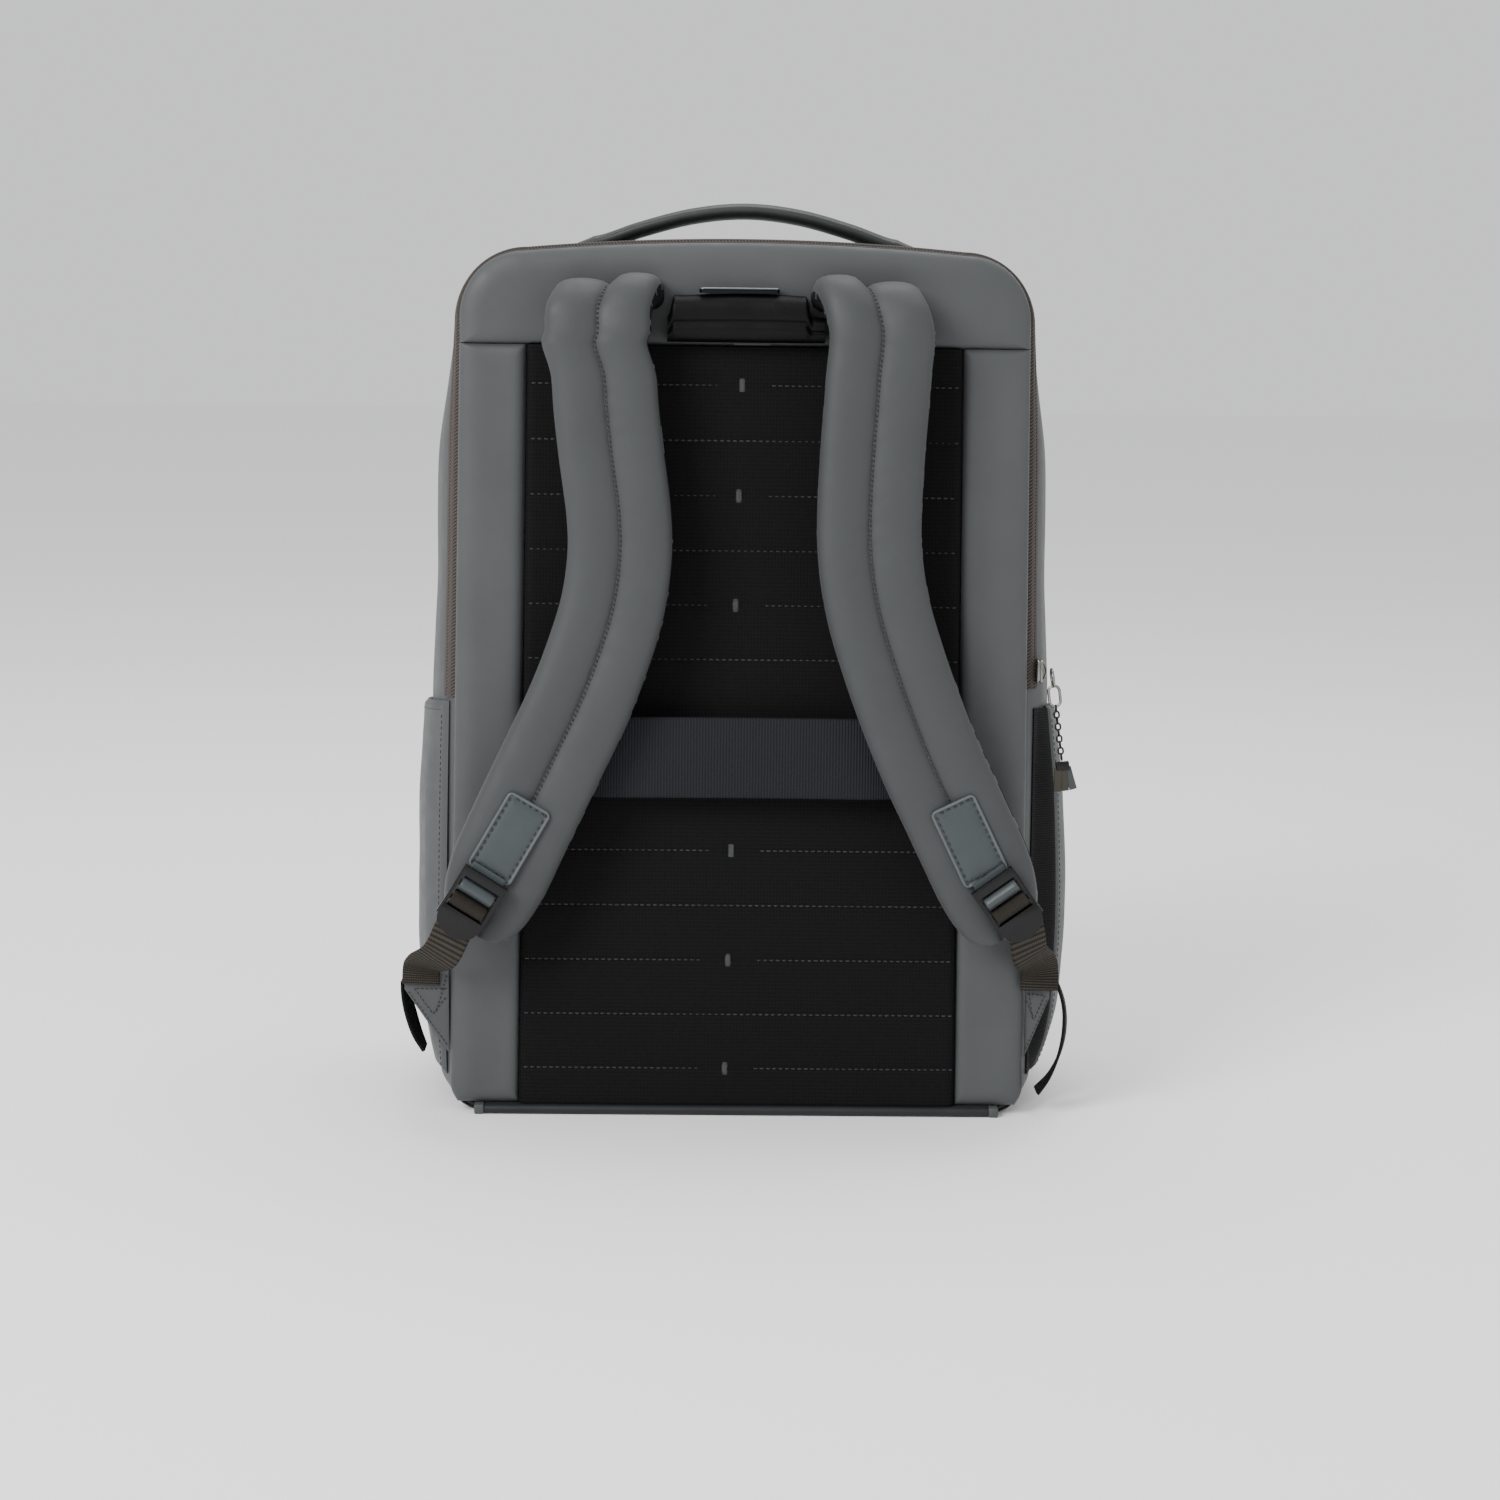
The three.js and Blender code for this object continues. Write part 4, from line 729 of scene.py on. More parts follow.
# Quilting of the mesh panel: rows of charcoal stitches at the bottom of the channels
# A small grey bar-tack of dense stitches holds the middle of every other row.
STITCH_DEPTH = -0.55 * CHANNEL_DEPTH - 0.3
rows, tacks = [], []
for z in CHANNELS:
    if z in TACK_ROWS:
        gap = TACK_X[TACK_ROWS.index(z)]
        spans = [(-mesh_half(z) + 2, gap - 12), (gap + 14, mesh_half(z) - 2)]
        tacks.append((gap, z))
    else:
        spans = [(-mesh_half(z) + 2, mesh_half(z) - 2)]
    rows += [[Vector((a, STITCH_DEPTH, z)), Vector((b, STITCH_DEPTH, z))] for a, b in spans]
mesh_thread = thread("charcoal_thread", "#17171a")
stitch_row("mesh_panel_stitches", rows, 3.2, 2.1, 0.75, mesh_thread, "air_mesh", lambda place: (0, -1, 0))
grey_thread = thread("grey_bartack_thread", "#2e3032")
for k, (x, z) in enumerate(tacks):
    threads = [[Vector((x - 1.6, -2.1, z - 2.9 + 0.55 * j)), Vector((x + 1.6, -2.1, z - 2.9 + 0.55 * j))]
               for j in range(12)]
    stitch_row(f"bartack_{k + 1}", threads, 3.2, 3.1, 0.62, grey_thread, "air_mesh", lambda place: (0, -1, 0))

# Leather patches: a smooth leather rectangle on each strap end, stitched round just inside a raised rim
# Full-grain leather dyed blue-grey; the cut rim is burnished lighter and the thread is black.
PATCH = {"left": (0.7916, 0.3393, 30), "right": (0.7839, 0.3411, 26)}
PATCH_WIDTH = 23.7
PATCH_LENGTH = 42.2
PATCH_CORNER = 3
PATCH_RIM = 1.3
PATCH_STITCH = 2.3
PATCH_PROFILE = [(0.1, 0), (0, 0.25), (0, 1.2), (0.18, 1.6), (0.55, 1.85), (0.95, 1.75), (1.35, 1.35),
                 (1.8, 1.12), (2.3, 1.0), (2.9, 1.12), (3.8, 1.4), (5.5, 1.62), (8, 1.75)]
STRAP_FACE = STRAP_FORWARD + STRAP_THICKNESS / 2


def fitting(side, out, height, tilt, forward):
    """A frame on the strap's slope: x across, y down the strap and z towards the wearer, in millimetres."""
    slope = math.radians(tilt) * side
    down = Vector((math.sin(slope), 0, -math.cos(slope)))
    towards = Vector((0, -1, 0))
    turn = Matrix((down.cross(towards), down, towards)).transposed().to_4x4()
    return Matrix.Translation((side * out * HALF_MEAN, -forward, height * BACK_EDGE["height"])) @ turn


def lay(piece, frame_matrix):
    """Moves a piece modelled in millimetres round the origin to its fitting frame, in metres."""
    for vertex in piece.data.vertices:
        vertex.co = at(*(frame_matrix @ vertex.co))
    face_outwards(piece)


def leather(name, base, roughness=0.42):
    finish, tree, shader = new_finish(name, Specular_IOR_Level=0.35)
    where = add_node(tree, "TexCoord").outputs["Object"]
    tint = add_node(tree, "TexNoise", [("Vector", where)], Scale=90.0, Detail=3.0)
    add_node(tree, "Mix", [("Factor", tint.outputs["Fac"])], [(2, shader.inputs["Base Color"])],
             {6: linear(base, 0.86), 7: linear(base, 1.14)}, data_type="RGBA")
    # pores of the grain are drawn about 0.7 mm across, coarser than real ones, so that they show
    pores = add_node(tree, "TexVoronoi", [("Vector", where)], Scale=1500.0, Randomness=0.9)
    add_node(tree, "Bump", [("Height", pores.outputs["Distance"])], [("Normal", shader.inputs["Normal"])],
             Strength=0.16, Distance=0.0003)
    add_node(tree, "MapRange", [("Value", tint.outputs["Fac"])], [("Result", shader.inputs["Roughness"])],
             To_Min=roughness - 0.06, To_Max=roughness + 0.08)
    return finish


patch_leather = leather("blue_grey_leather", "#33393b")
rim_leather = leather("burnished_leather_rim", "#4b5052", 0.36)


def rounded_ring(width, length, corner, height, steps=6):
    """Places round a rounded rectangle about the origin, in millimetres."""
    ring = []
    for turn, (hx, hy) in enumerate(((1, 1), (-1, 1), (-1, -1), (1, -1))):
        for k in range(steps + 1):
            angle = (turn + k / steps) * math.pi / 2
            ring.append(Vector((hx * (width / 2 - corner) + corner * math.cos(angle),
                                hy * (length / 2 - corner) + corner * math.sin(angle), height)))
    return ring


def to_own_frame(piece):
    """Takes a mesh that was placed in metres back to millimetres round the origin."""
    for vertex in piece.data.vertices:
        vertex.co = Vector((vertex.co.x - middle_x, vertex.co.y - wearer_y, vertex.co.z)) * 1000


def rounded_plate(name, width, length, corner, profile):
    """A rounded rectangle built up from (inset, height) rows in millimetres, kept in its own frame."""
    rings = [rounded_ring(width - 2 * inset, length - 2 * inset, max(corner - inset, 0.25), height)
             for inset, height in profile]
    piece = closed_tube(name, rings, (2 * (width + length), 10))
    to_own_frame(piece)
    return piece


for word, side in (("left", -1), ("right", 1)):
    out, height, tilt = PATCH[word]
    frame_matrix = fitting(side, out, height, tilt, STRAP_FACE + 0.3)
    patch = rounded_plate(f"leather_patch_{word}", PATCH_WIDTH, PATCH_LENGTH, PATCH_CORNER, PATCH_PROFILE)
    place_material(patch, patch_leather)
    patch.data.materials.append(rim_leather)
    for face in patch.data.polygons:
        edge = max(abs(face.center.x) - PATCH_WIDTH / 2, abs(face.center.y) - PATCH_LENGTH / 2) + PATCH_RIM
        face.material_index = 1 if edge > 0 and face.center.z > 0.4 else 0
    lay(patch, frame_matrix)
    dress(patch, 60, None, "patch_leather", f"strap_patch_{word}")
    half_w, half_l = PATCH_WIDTH / 2 - PATCH_STITCH, PATCH_LENGTH / 2 - PATCH_STITCH
    corners = [(-half_w, -half_l), (half_w, -half_l), (half_w, half_l - 0.8), (-half_w, half_l - 0.8)]
    sides = [[frame_matrix @ Vector((*a, 1.35)), frame_matrix @ Vector((*b, 1.35))]
             for a, b in zip(corners, corners[1:] + corners[:1])]
    stitch_row(f"patch_stitches_{word}", sides, 3.5, 2.3, 0.75, black_thread, "patch_leather",
               lambda place: (0, -1, 0))

# Ladder-lock buckles: black acetal mouldings that grip the webbing
# A leather loop holds each by its upper bar; the ribbed webbing goes over the middle bar and under the foot.
BUCKLE = {"left": (0.8671, 0.2979, 32), "right": (0.8587, 0.2995, 36)}
BUCKLE_WIDTH = 24
BUCKLE_LENGTH = 27
BUCKLE_THICKNESS = 4
BUCKLE_RAIL = 2
BUCKLE_BARS = [(0, 4.5, 1), (7.6, 10.2, 0.55), (15.8, 18.2, 0.55), (21.4, 27, 1)]
BUCKLE_FORWARD = STRAP_FACE + 6.3
LOOP_THICKNESS = 1.4
UNDER_BUCKLE = -BUCKLE_THICKNESS / 2 - 0.3


def moulded_acetal():
    finish, tree, shader = new_finish("black_moulded_acetal", Specular_IOR_Level=0.3, IOR=1.48,
                                          Base_Color=linear("#040405"))
    where = add_node(tree, "TexCoord").outputs["Object"]
    spark = add_node(tree, "TexNoise", [("Vector", where)], Scale=900.0, Detail=3.0)
    add_node(tree, "Bump", [("Height", spark.outputs["Fac"])], [("Normal", shader.inputs["Normal"])],
             Strength=0.1, Distance=0.0002)
    wear = add_node(tree, "TexNoise", [("Vector", where)], Scale=140.0, Detail=4.0)
    add_node(tree, "MapRange", [("Value", wear.outputs["Fac"])], [("Result", shader.inputs["Roughness"])],
             From_Min=0.3, From_Max=0.7, To_Min=0.2, To_Max=0.36)
    return finish


black_acetal = moulded_acetal()


def bar(x0, x1, y0, y1, z0, z1):
    """One straight bar of the buckle, between two corners in its own frame."""
    bpy.ops.object.select_all(action="DESELECT")
    bpy.ops.mesh.primitive_cube_add(size=1)
    piece = bpy.context.object
    for vertex in piece.data.vertices:
        vertex.co = ((x0 + x1) / 2 + vertex.co.x * (x1 - x0), (y0 + y1) / 2 + vertex.co.y * (y1 - y0),
                     (z0 + z1) / 2 + vertex.co.z * (z1 - z0))
    return piece


def buckle_body():
    half, thick = BUCKLE_WIDTH / 2, BUCKLE_THICKNESS / 2
    parts = []
    for hand in (-1, 1):
        rail = bar(half - BUCKLE_RAIL, half, 0, BUCKLE_LENGTH, -thick, thick)
        for vertex in rail.data.vertices:
            vertex.co.x *= hand
            if vertex.co.z > 0 and vertex.co.y > 1:
                vertex.co.z -= 0.5
        parts.append(rail)
    for start, end, share in BUCKLE_BARS:
        parts.append(bar(-half + 1, half - 1, start, end, -thick * share, thick * share))
    bpy.ops.object.select_all(action="DESELECT")
    bpy.ops.mesh.primitive_cylinder_add(vertices=48, radius=1, depth=BUCKLE_THICKNESS - 1,
                                        end_fill_type="NGON")
    tab = bpy.context.object
    for vertex in tab.data.vertices:
        down = max(vertex.co.y, -0.02)
        vertex.co = (vertex.co.x * (half - 1), 26.5 + down * 8, vertex.co.z - 0.4 * down * (vertex.co.z > 0))
    parts.append(tab)
    body = parts[0]
    for part in parts[1:]:
        bpy.context.view_layer.objects.active = body
        modifier = body.modifiers.new("join", "BOOLEAN")
        modifier.operation = "UNION"
        modifier.solver = "EXACT"
        modifier.object = part
        bpy.ops.object.modifier_apply(modifier="join")
        bpy.data.objects.remove(part)
    return body


def ribbon(name, frames, width, thickness, columns=10):
    """Flat webbing with rounded edges along frames in millimetres, its UV map in metres."""
    half_w, half_t = width / 2, thickness / 2
    corner = min(half_t * 0.8, 0.7)
    section = []
    for hand in (1, -1):
        for k in range(columns + 1):
            x = mix(-half_w + corner, half_w - corner, k / columns) * hand
            section.append((x, hand * half_t))
        section.append((hand * (half_w - corner * 0.25), hand * half_t * 0.7))
        section.append((hand * half_w, 0))
        section.append((hand * (half_w - corner * 0.25), -hand * half_t * 0.7))
    rings, length = [], 0
    for k, (place, along, across, facing) in enumerate(frames):
        length += (place - frames[k - 1][0]).length if k else 0
        rings.append([place + across * x + facing * y for x, y in section])
    return closed_tube(name, rings, (2 * width, length))


model = buckle_body()
for word, side in (("left", -1), ("right", 1)):
    out, height, tilt = BUCKLE[word]
    frame_matrix = fitting(side, out, height, tilt, BUCKLE_FORWARD)
    buckle = bpy.data.objects.new(f"buckle_{word}_moulding", model.data.copy())
    bpy.context.scene.collection.objects.link(buckle)
    lay(buckle, frame_matrix)
    apply_modifier(buckle, "BEVEL", width=0.00055, segments=3, limit_method="ANGLE",
                   angle_limit=math.radians(35), harden_normals=False)
    dress(buckle, 45, black_acetal, "buckle_plastic", f"buckle_{word}")
    low = UNDER_BUCKLE - LOOP_THICKNESS / 2
    places = [Vector((0, y, z)) for y, z in ((-3, low), (4.9, low), (6.1, -0.8), (6.7, 1.6), (8.9, 3.3),
                                              (11.1, 1.8), (11.8, -0.6), (11.7, low))]
    loop_frames = path_frames(places, 60, lambda share: (1, 0, 0))
    loop = ribbon(f"leather_loop_{word}", loop_frames, BUCKLE_WIDTH - 2 * BUCKLE_RAIL - 1.6, LOOP_THICKNESS)
    to_own_frame(loop)
    lay(loop, frame_matrix)
    dress(loop, 60, patch_leather, "patch_leather", f"buckle_loop_{word}")
bpy.data.objects.remove(model)

# Webbing: 19 mm polyester strap webbing, woven with a rib across its width
# Brown-grey yarn, coloured lighter on the rib crests as painted highlight and darker between them as painted
# shade. It runs from buckle to anchor tab.
WEBBING_WIDTH = 19
WEBBING_THICKNESS = 1.6
SIDE_SEAM = 146.3
TAB_TIP = 66
WEBBING_END = {"left": [(1.7, 27, 22), (10.7, 11, 14), (13.7, -1.6, 8), (14.2, -2.9, 0)],
               "right": [(-1.3, 26, 24), (4.2, 12, 17), (6.1, 4.2, 10), (6.1, 3.2, 1)]}


def ribbed_webbing(name, ridge, valley_shade, rib_mm, height=0.00035, roughness=0.72):
    """Webbing with ribs across its length, coloured lighter on their crests and darker between them as
    painted highlight and painted shade; the UV map's second value is metres along it.
    """
    finish, tree, shader = new_finish(name, Roughness=roughness, Specular_IOR_Level=0.15)
    where = add_node(tree, "TexCoord").outputs["UV"]
    split = add_node(tree, "SeparateXYZ", [(0, where)])
    pitch = rib_mm / 1000

    def wave(socket, period):
        turned = add_node(tree, "Math", [(0, socket)], (), {1: 2 * math.pi / period}, operation="MULTIPLY")
        crest = add_node(tree, "Math", [(0, turned.outputs[0])], operation="SINE")
        spread = add_node(tree, "MapRange", [("Value", crest.outputs[0])], From_Min=-1.0, From_Max=1.0)
        return spread.outputs[0]

    ribs = wave(split.outputs["Y"], pitch)
    yarns = wave(split.outputs["X"], pitch * 0.8)
    woven = add_node(tree, "Math", [(0, ribs), (1, yarns)], operation="MULTIPLY")
    blend = add_node(tree, "Math", [(0, woven.outputs[0]), (1, ribs)], operation="ADD")
    fuzz = add_node(tree, "TexNoise", [("Vector", where)], Scale=1500.0, Detail=2.0)
    surface = add_node(tree, "Math", [(0, blend.outputs[0]), (1, fuzz.outputs["Fac"])], operation="ADD")
    # painted highlight and painted shade: the ridge colour on the rib crests, the darker valley colour
    # between them
    rib_highlight_and_shade = add_node(tree, "Mix", [(0, ribs)], (), {6: linear(valley_shade), 7: linear(ridge)}, data_type="RGBA")
    stains = add_node(tree, "MapRange", [("Value", fuzz.outputs["Fac"])], To_Min=0.82, To_Max=1.18)
    add_node(tree, "Mix", [(6, rib_highlight_and_shade.outputs[2]), (7, stains.outputs[0])], [(2, shader.inputs["Base Color"])],
             {0: 1.0}, data_type="RGBA", blend_type="MULTIPLY")
    add_node(tree, "Bump", [("Height", surface.outputs[0])], [("Normal", shader.inputs["Normal"])],
             Strength=0.8, Distance=height)
    return finish


strap_webbing = ribbed_webbing("brown_grey_webbing", "#3c3731", "#151210", 1.2)
for word, side in (("left", -1), ("right", 1)):
    out, height, tilt = BUCKLE[word]
    frame_matrix = fitting(side, out, height, tilt, BUCKLE_FORWARD)
    low = UNDER_BUCKLE - WEBBING_THICKNESS / 2
    over_bar = [frame_matrix @ Vector((0, y, z)) for y, z in (
        (13.9, low), (14.1, -0.4), (14.8, 2.2), (17, 3.4), (19, 2.2), (19.8, -0.4), (20.6, low),
        (29, low - 0.8))]
    to_tab = [Vector((side * (SIDE_SEAM + x), -forward, TAB_TIP + z)) for x, forward, z in WEBBING_END[word]]
    start = frame_matrix.to_3x3() @ Vector((1, 0, 0))
    frames = path_frames(over_bar + to_tab, 120,
                         lambda share: start.lerp(Vector((-1, 0, 0)), smooth_step(share, 0.7, 1)))
    webbing = ribbon(f"webbing_{word}_strap", frames, WEBBING_WIDTH, WEBBING_THICKNESS, columns=14)
    dress(webbing, 60, strap_webbing, "strap_webbing", f"webbing_{word}")

# Anchor tabs: triangles of folded grey cloth sewn into the side seams, which hold the webbing's folded end
# They are stitched flat with a line across and a kite of dashes.
TAB_FOOT = 30
TAB_TOP = 79
TAB_DEPTH = 4
TAB_THICKNESS = 1.8
TAIL_WIDTH = 15
TAIL_SWAY = 0.22
TAIL_STEPS = 50
TAIL_PLACES = {"left": [(24.1, 0), (22.7, -8), (20.3, -18), (17.1, -28), (13.3, -36)],
               "right": [(14.1, 8), (19.7, -8), (20.5, -22), (18.1, -35), (13.3, -46), (7.1, -54)]}
# reach, slant, cut area in square metres, then the tail's depth and its cut length in metres
TABS = {"left": (23, 0, 0.00071, 14, 0.04), "right": (12, 6, 0.00044, 5.7, 0.069)}
# The tail is the same webbing as the strap; its near-black colours are painted shade of its inner face, not a
# black webbing.
shaded_tail_webbing = ribbed_webbing("tail_webbing_painted_shade", "#151413", "#050505", 1.2)
for word, side in (("left", -1), ("right", 1)):
    reach, slant, tab_area, tail_depth, tail_cut = TABS[word]

    def tab_depth(x):
        return TAB_DEPTH - slant * (x - SIDE_SEAM) / reach

    def tab_skin(u, v):
        x = SIDE_SEAM + u * (reach - 0.6) + 0.2
        share = u * (reach - 0.6) / reach
        low, high = mix(TAB_FOOT, TAB_TIP - 2, share), mix(TAB_TOP, TAB_TIP + 2, share)
        z = mix(low, high, v)
        edge = min(x - SIDE_SEAM + 3, z - low, high - z, (1 - u) * reach + 1)
        puff = 0.5 * (1 - math.exp(-max(edge, 0) / 1.5))
        puff += 0.25 * noise.noise(Vector((x / 9, side * 3, z / 9)))
        return side * x, tab_depth(x) + 0.5 - puff, z

    tab = grid(f"anchor_tab_cloth_{word}", 30, 44, tab_skin, size=(23, 49))
    close_back(tab, lambda depth: depth + TAB_THICKNESS / 1000)
    dress(tab, 50, grey_polyester, "coated_cloth", f"anchor_tab_{word}")

    def on_tab(u, z):
        x = SIDE_SEAM + u * reach
        return Vector((side * x, tab_depth(x) - 0.42, z))

    kite = [[on_tab(0.04, 63.5), on_tab(0.72, 63.5)],
            [on_tab(0.78, 64), on_tab(0.36, 50.5), on_tab(0.04, 60)],
            [on_tab(0.05, 71), on_tab(0.3, 50.5)],
            [on_tab(0.04, 34), on_tab(0.9, 62)]]
    stitch_row(f"tab_stitches_{word}", kite, 2.3, 1.6, 0.6, black_thread, "coated_cloth",
               lambda place: (0, -1, 0))
    places = [Vector((side * (SIDE_SEAM + x), tail_depth, TAB_TIP + z)) for x, z in TAIL_PLACES[word]]
    frames = path_frames(places, TAIL_STEPS, lambda share: (0, 1, 0))
    for k, row in enumerate(frames):
        sway = TAIL_SWAY * math.sin(k / TAIL_STEPS * math.pi)
        row[2] = (row[2] + row[3] * sway).normalized()
        row[3] = row[1].cross(row[2]).normalized()
    tail = ribbon(f"webbing_tail_{word}_strap", frames, TAIL_WIDTH, WEBBING_THICKNESS)
    dress(tail, 60, shaded_tail_webbing, "tail_webbing", f"webbing_tail_{word}")

# Pass band: a broad band of dark blue-grey ribbed webbing across the back
# It is sewn down at both ends beside the mesh and bows off the back between them.
BAND_HALF = 110
BAND_HEIGHT = 40.5
BAND_FOOT = 166
BAND_THICKNESS = 1.8
BAND_REACH = 13
BAND_CURL = 1.1
BAND_BOW = [(1, -0.15), (0.96, 0), (0.84, 0.46), (0.6, 1), (0.3, 1), (0, 1)]
band_webbing = ribbed_webbing("blue_grey_band_webbing", "#1f2125", "#131417", 1.0, 0.00022)
stand = CHANNEL_DEPTH + 0.3 + BAND_THICKNESS / 2
half_band = [Vector((x * BAND_HALF, -stand - bow * BAND_REACH, BAND_FOOT + BAND_HEIGHT / 2))
             for x, bow in BAND_BOW]
band_places = [Vector((-p.x, p.y, p.z)) for p in half_band[:-1]] + half_band[::-1]
frames = path_frames(band_places, 150, lambda share: (0, 0, 1))
band = ribbon("pass_band_webbing", frames, BAND_HEIGHT, BAND_THICKNESS, columns=26)
for vertex in band.data.vertices:
    x, z = (vertex.co.x - middle_x) * 1000, vertex.co.z * 1000
    across = (z - BAND_FOOT) / BAND_HEIGHT - 0.5
    belly = 1 - clamp(abs(x) / 100) ** 2
    wave = 0.5 * noise.noise(Vector((x / 40, 5, z / 30)))
    vertex.co.y += (BAND_CURL * across * across * 4 * belly - wave * belly) / 1000
dress(band, 60, band_webbing, "band_webbing", "pass_band")

# Strap bridge: a padded roll between the strap roots, covered in smooth black cloth with a satin face
# The cover is folded over foam, so that a soft lip runs along it above a deep fold.
ROLL_FOOT = 390
ROLL_HEIGHT = 23.5
ROLL_DEPTH = 13
ROLL_HALF = 38.4
ROLL_END_HEIGHT = 12.6
ROLL_SEAT = -2.3
ROLL_PROFILE = [(0, 0), (0.45, 0), (0.78, 0.08), (0.92, 0.28), (0.86, 0.41), (0.97, 0.5), (1.0, 0.62),
                (0.96, 0.8), (0.74, 0.95), (0.4, 1), (0, 0.97)]


def satin_cover():
    finish, tree, shader = new_finish("black_satin_cover", Specular_IOR_Level=0.14,
                                          Base_Color=linear("#030304"))
    where = add_node(tree, "TexCoord").outputs["Object"]
    drawn = add_node(tree, "Mapping", [("Vector", where)], Scale=(25, 160, 160))
    folds = add_node(tree, "TexNoise", [("Vector", drawn.outputs[0])], Scale=1.0, Detail=4.0)
    fine = add_node(tree, "TexNoise", [("Vector", where)], Scale=1600.0, Detail=2.0)
    total = add_node(tree, "Math", [(0, folds.outputs["Fac"]), (1, fine.outputs["Fac"])],
                     operation="MULTIPLY")
    add_node(tree, "Bump", [("Height", total.outputs[0])], [("Normal", shader.inputs["Normal"])],
             Strength=0.35, Distance=0.0012)
    add_node(tree, "MapRange", [("Value", folds.outputs["Fac"])], [("Result", shader.inputs["Roughness"])],
             To_Min=0.36, To_Max=0.52)
    return finish


black_satin = satin_cover()
profile_points = [Vector((*row, 0)) for row in ROLL_PROFILE]
fine_profile = [curve_place(profile_points, k / 60) for k in range(61)]
rings = []
for k in range(121):
    x = mix(-ROLL_HALF, ROLL_HALF, k / 120)
    inside = 1 - (smooth_step(x, 29, 32) if x > 0 else smooth_step(-x, 35, 38))
    height = mix(ROLL_END_HEIGHT, ROLL_HEIGHT - 0.9 * clamp(abs(x) / 28) ** 2, inside)
    depth = mix(0.9, 1.0, inside) * ROLL_DEPTH
    wave = 0.4 * noise.noise(Vector((x / 18, 0.5, 2)))
    rings.append([Vector((x, ROLL_SEAT - point.x * (depth + wave), ROLL_FOOT + point.y * height))
                  for point in fine_profile])
roll_cover = closed_tube("strap_bridge_cover", rings, (70, 77))
dress(roll_cover, 60, black_satin, "roll_cover", "strap_bridge_roll")

# Seam label: the folded edge of a grey woven ribbon, caught in the seam under the roll
# Only its edge shows, and it is left plain.
LABEL_AT = (3, -2.9, 389.6)
LABEL_SIZE = (0.018, 0.0012, 0.0018)
bpy.ops.mesh.primitive_cube_add(size=1, location=at(*LABEL_AT))
label = bpy.context.object
label.name = "seam_label_edge"
edit(label, lambda: bpy.ops.transform.resize(value=LABEL_SIZE))
apply_modifier(label, "BEVEL", width=0.0004, segments=3)
bpy.ops.object.select_all(action="DESELECT")
label.select_set(True)
bpy.ops.object.transform_apply(location=True, rotation=True, scale=True)
place_material(label, grey_thread)
belong(label, "band_webbing")

# Plate: a small dark anodised aluminium bar lying on the roll, left bare
# Its top is brushed along its length, and its bevelled rim is cut bright.
PLATE_SIZE = (39, 8)
PLATE_CORNER = 2
PLATE_SIDE = 1.9
PLATE_CREST = 2.6
PLATE_PROFILE = [(0.2, 0), (0, 0.2), (0, PLATE_SIDE), (0.25, 2.35), (0.6, PLATE_CREST), (1.2, PLATE_CREST),
                 (1.6, 2.45), (3, 2.45)]
plate_frame = Matrix.Translation((-3.4, -8.5, ROLL_FOOT + ROLL_HEIGHT + 0.3))


def anodised(name, base, roughness):
    finish, tree, shader = new_finish(name, Metallic=0.85,
                                          Base_Color=linear(base))
    where = add_node(tree, "TexCoord").outputs["Object"]
    drawn = add_node(tree, "Mapping", [("Vector", where)], Scale=(60, 2500, 2500))
    brushed = add_node(tree, "TexNoise", [("Vector", drawn.outputs[0])], Scale=1.0, Detail=2.0)
    add_node(tree, "MapRange", [("Value", brushed.outputs["Fac"])], [("Result", shader.inputs["Roughness"])],
             To_Min=roughness - 0.08, To_Max=roughness + 0.08)
    return finish


dark_anodised = anodised("dark_anodised_aluminium", "#141517", 0.36)
bright_rim = anodised("bright_cut_rim", "#6a6f73", 0.3)
plate = rounded_plate("plain_plate_bar", *PLATE_SIZE, PLATE_CORNER, PLATE_PROFILE)
place_material(plate, dark_anodised)
plate.data.materials.append(bright_rim)
for face in plate.data.polygons:
    outside = abs(face.center.x) > 18.4 or abs(face.center.y) > 2.9
    face.material_index = 1 if outside and PLATE_SIDE < face.center.z < PLATE_CREST - 0.01 else 0
lay(plate, plate_frame)
dress(plate, 45, None, "plate_metal", "plain_plate")

# Top handle: a grab handle of smooth dark grey coated cloth over a flat core
# The cloth is folded round the core and stitched along both edges, and the ends are sewn into the top.
HANDLE_WIDTH = 22
HANDLE_THICKNESS = 6
HANDLE_SPAN = 78
HANDLE_RISE = 16.5
HANDLE_SHARE = 0.36
HANDLE_LIFT = 2.4
HANDLE_ARCH = [(1, 0), (0.72, 0.42), (0.36, 0.84), (0, 1)]
HANDLE_RIM = [(0, 1), (0.45, 0.97), (0.68, 0.86), (0.76, 0.72), (0.84, 0.62), (0.95, 0.45), (1, 0.1),
              (0.97, -0.3), (0.85, -0.6), (0.6, -0.8), (0.3, -0.9), (0, -0.93)]
HANDLE_END_FRAMES = 14


def top_place(x):
    """The outline's parameter on the flat of the top, x to the right of the middle."""
    return TOP_MIDDLE - x / (BACK_EDGE["half_top"] - BACK_EDGE["top_radius"]) * (TOP_MIDDLE - TOP_ARC_END)


handle_leather = leather("dark_grey_handle_cover", "#292b2b", 0.4)
lift = 0.6 + HANDLE_THICKNESS / 2
foot = Vector(gusset_place(top_place(HANDLE_SPAN), HANDLE_SHARE, lift))
far = Vector(gusset_place(top_place(HANDLE_SPAN + 12), HANDLE_SHARE, lift))
rise = BACK_EDGE["height"] + HANDLE_RISE - HANDLE_THICKNESS / 2 + HANDLE_LIFT - foot.z
arch = [Vector((share * foot.x, foot.y, foot.z + up_share * rise)) for share, up_share in HANDLE_ARCH]
handle_places = [far, *arch] + [Vector((-p.x, p.y, p.z)) for p in (*arch[:-1][::-1], far)]
lean_from, lean_to = [Vector(gusset_place(TOP_MIDDLE, HANDLE_SHARE + step)) for step in (-0.1, 0.1)]
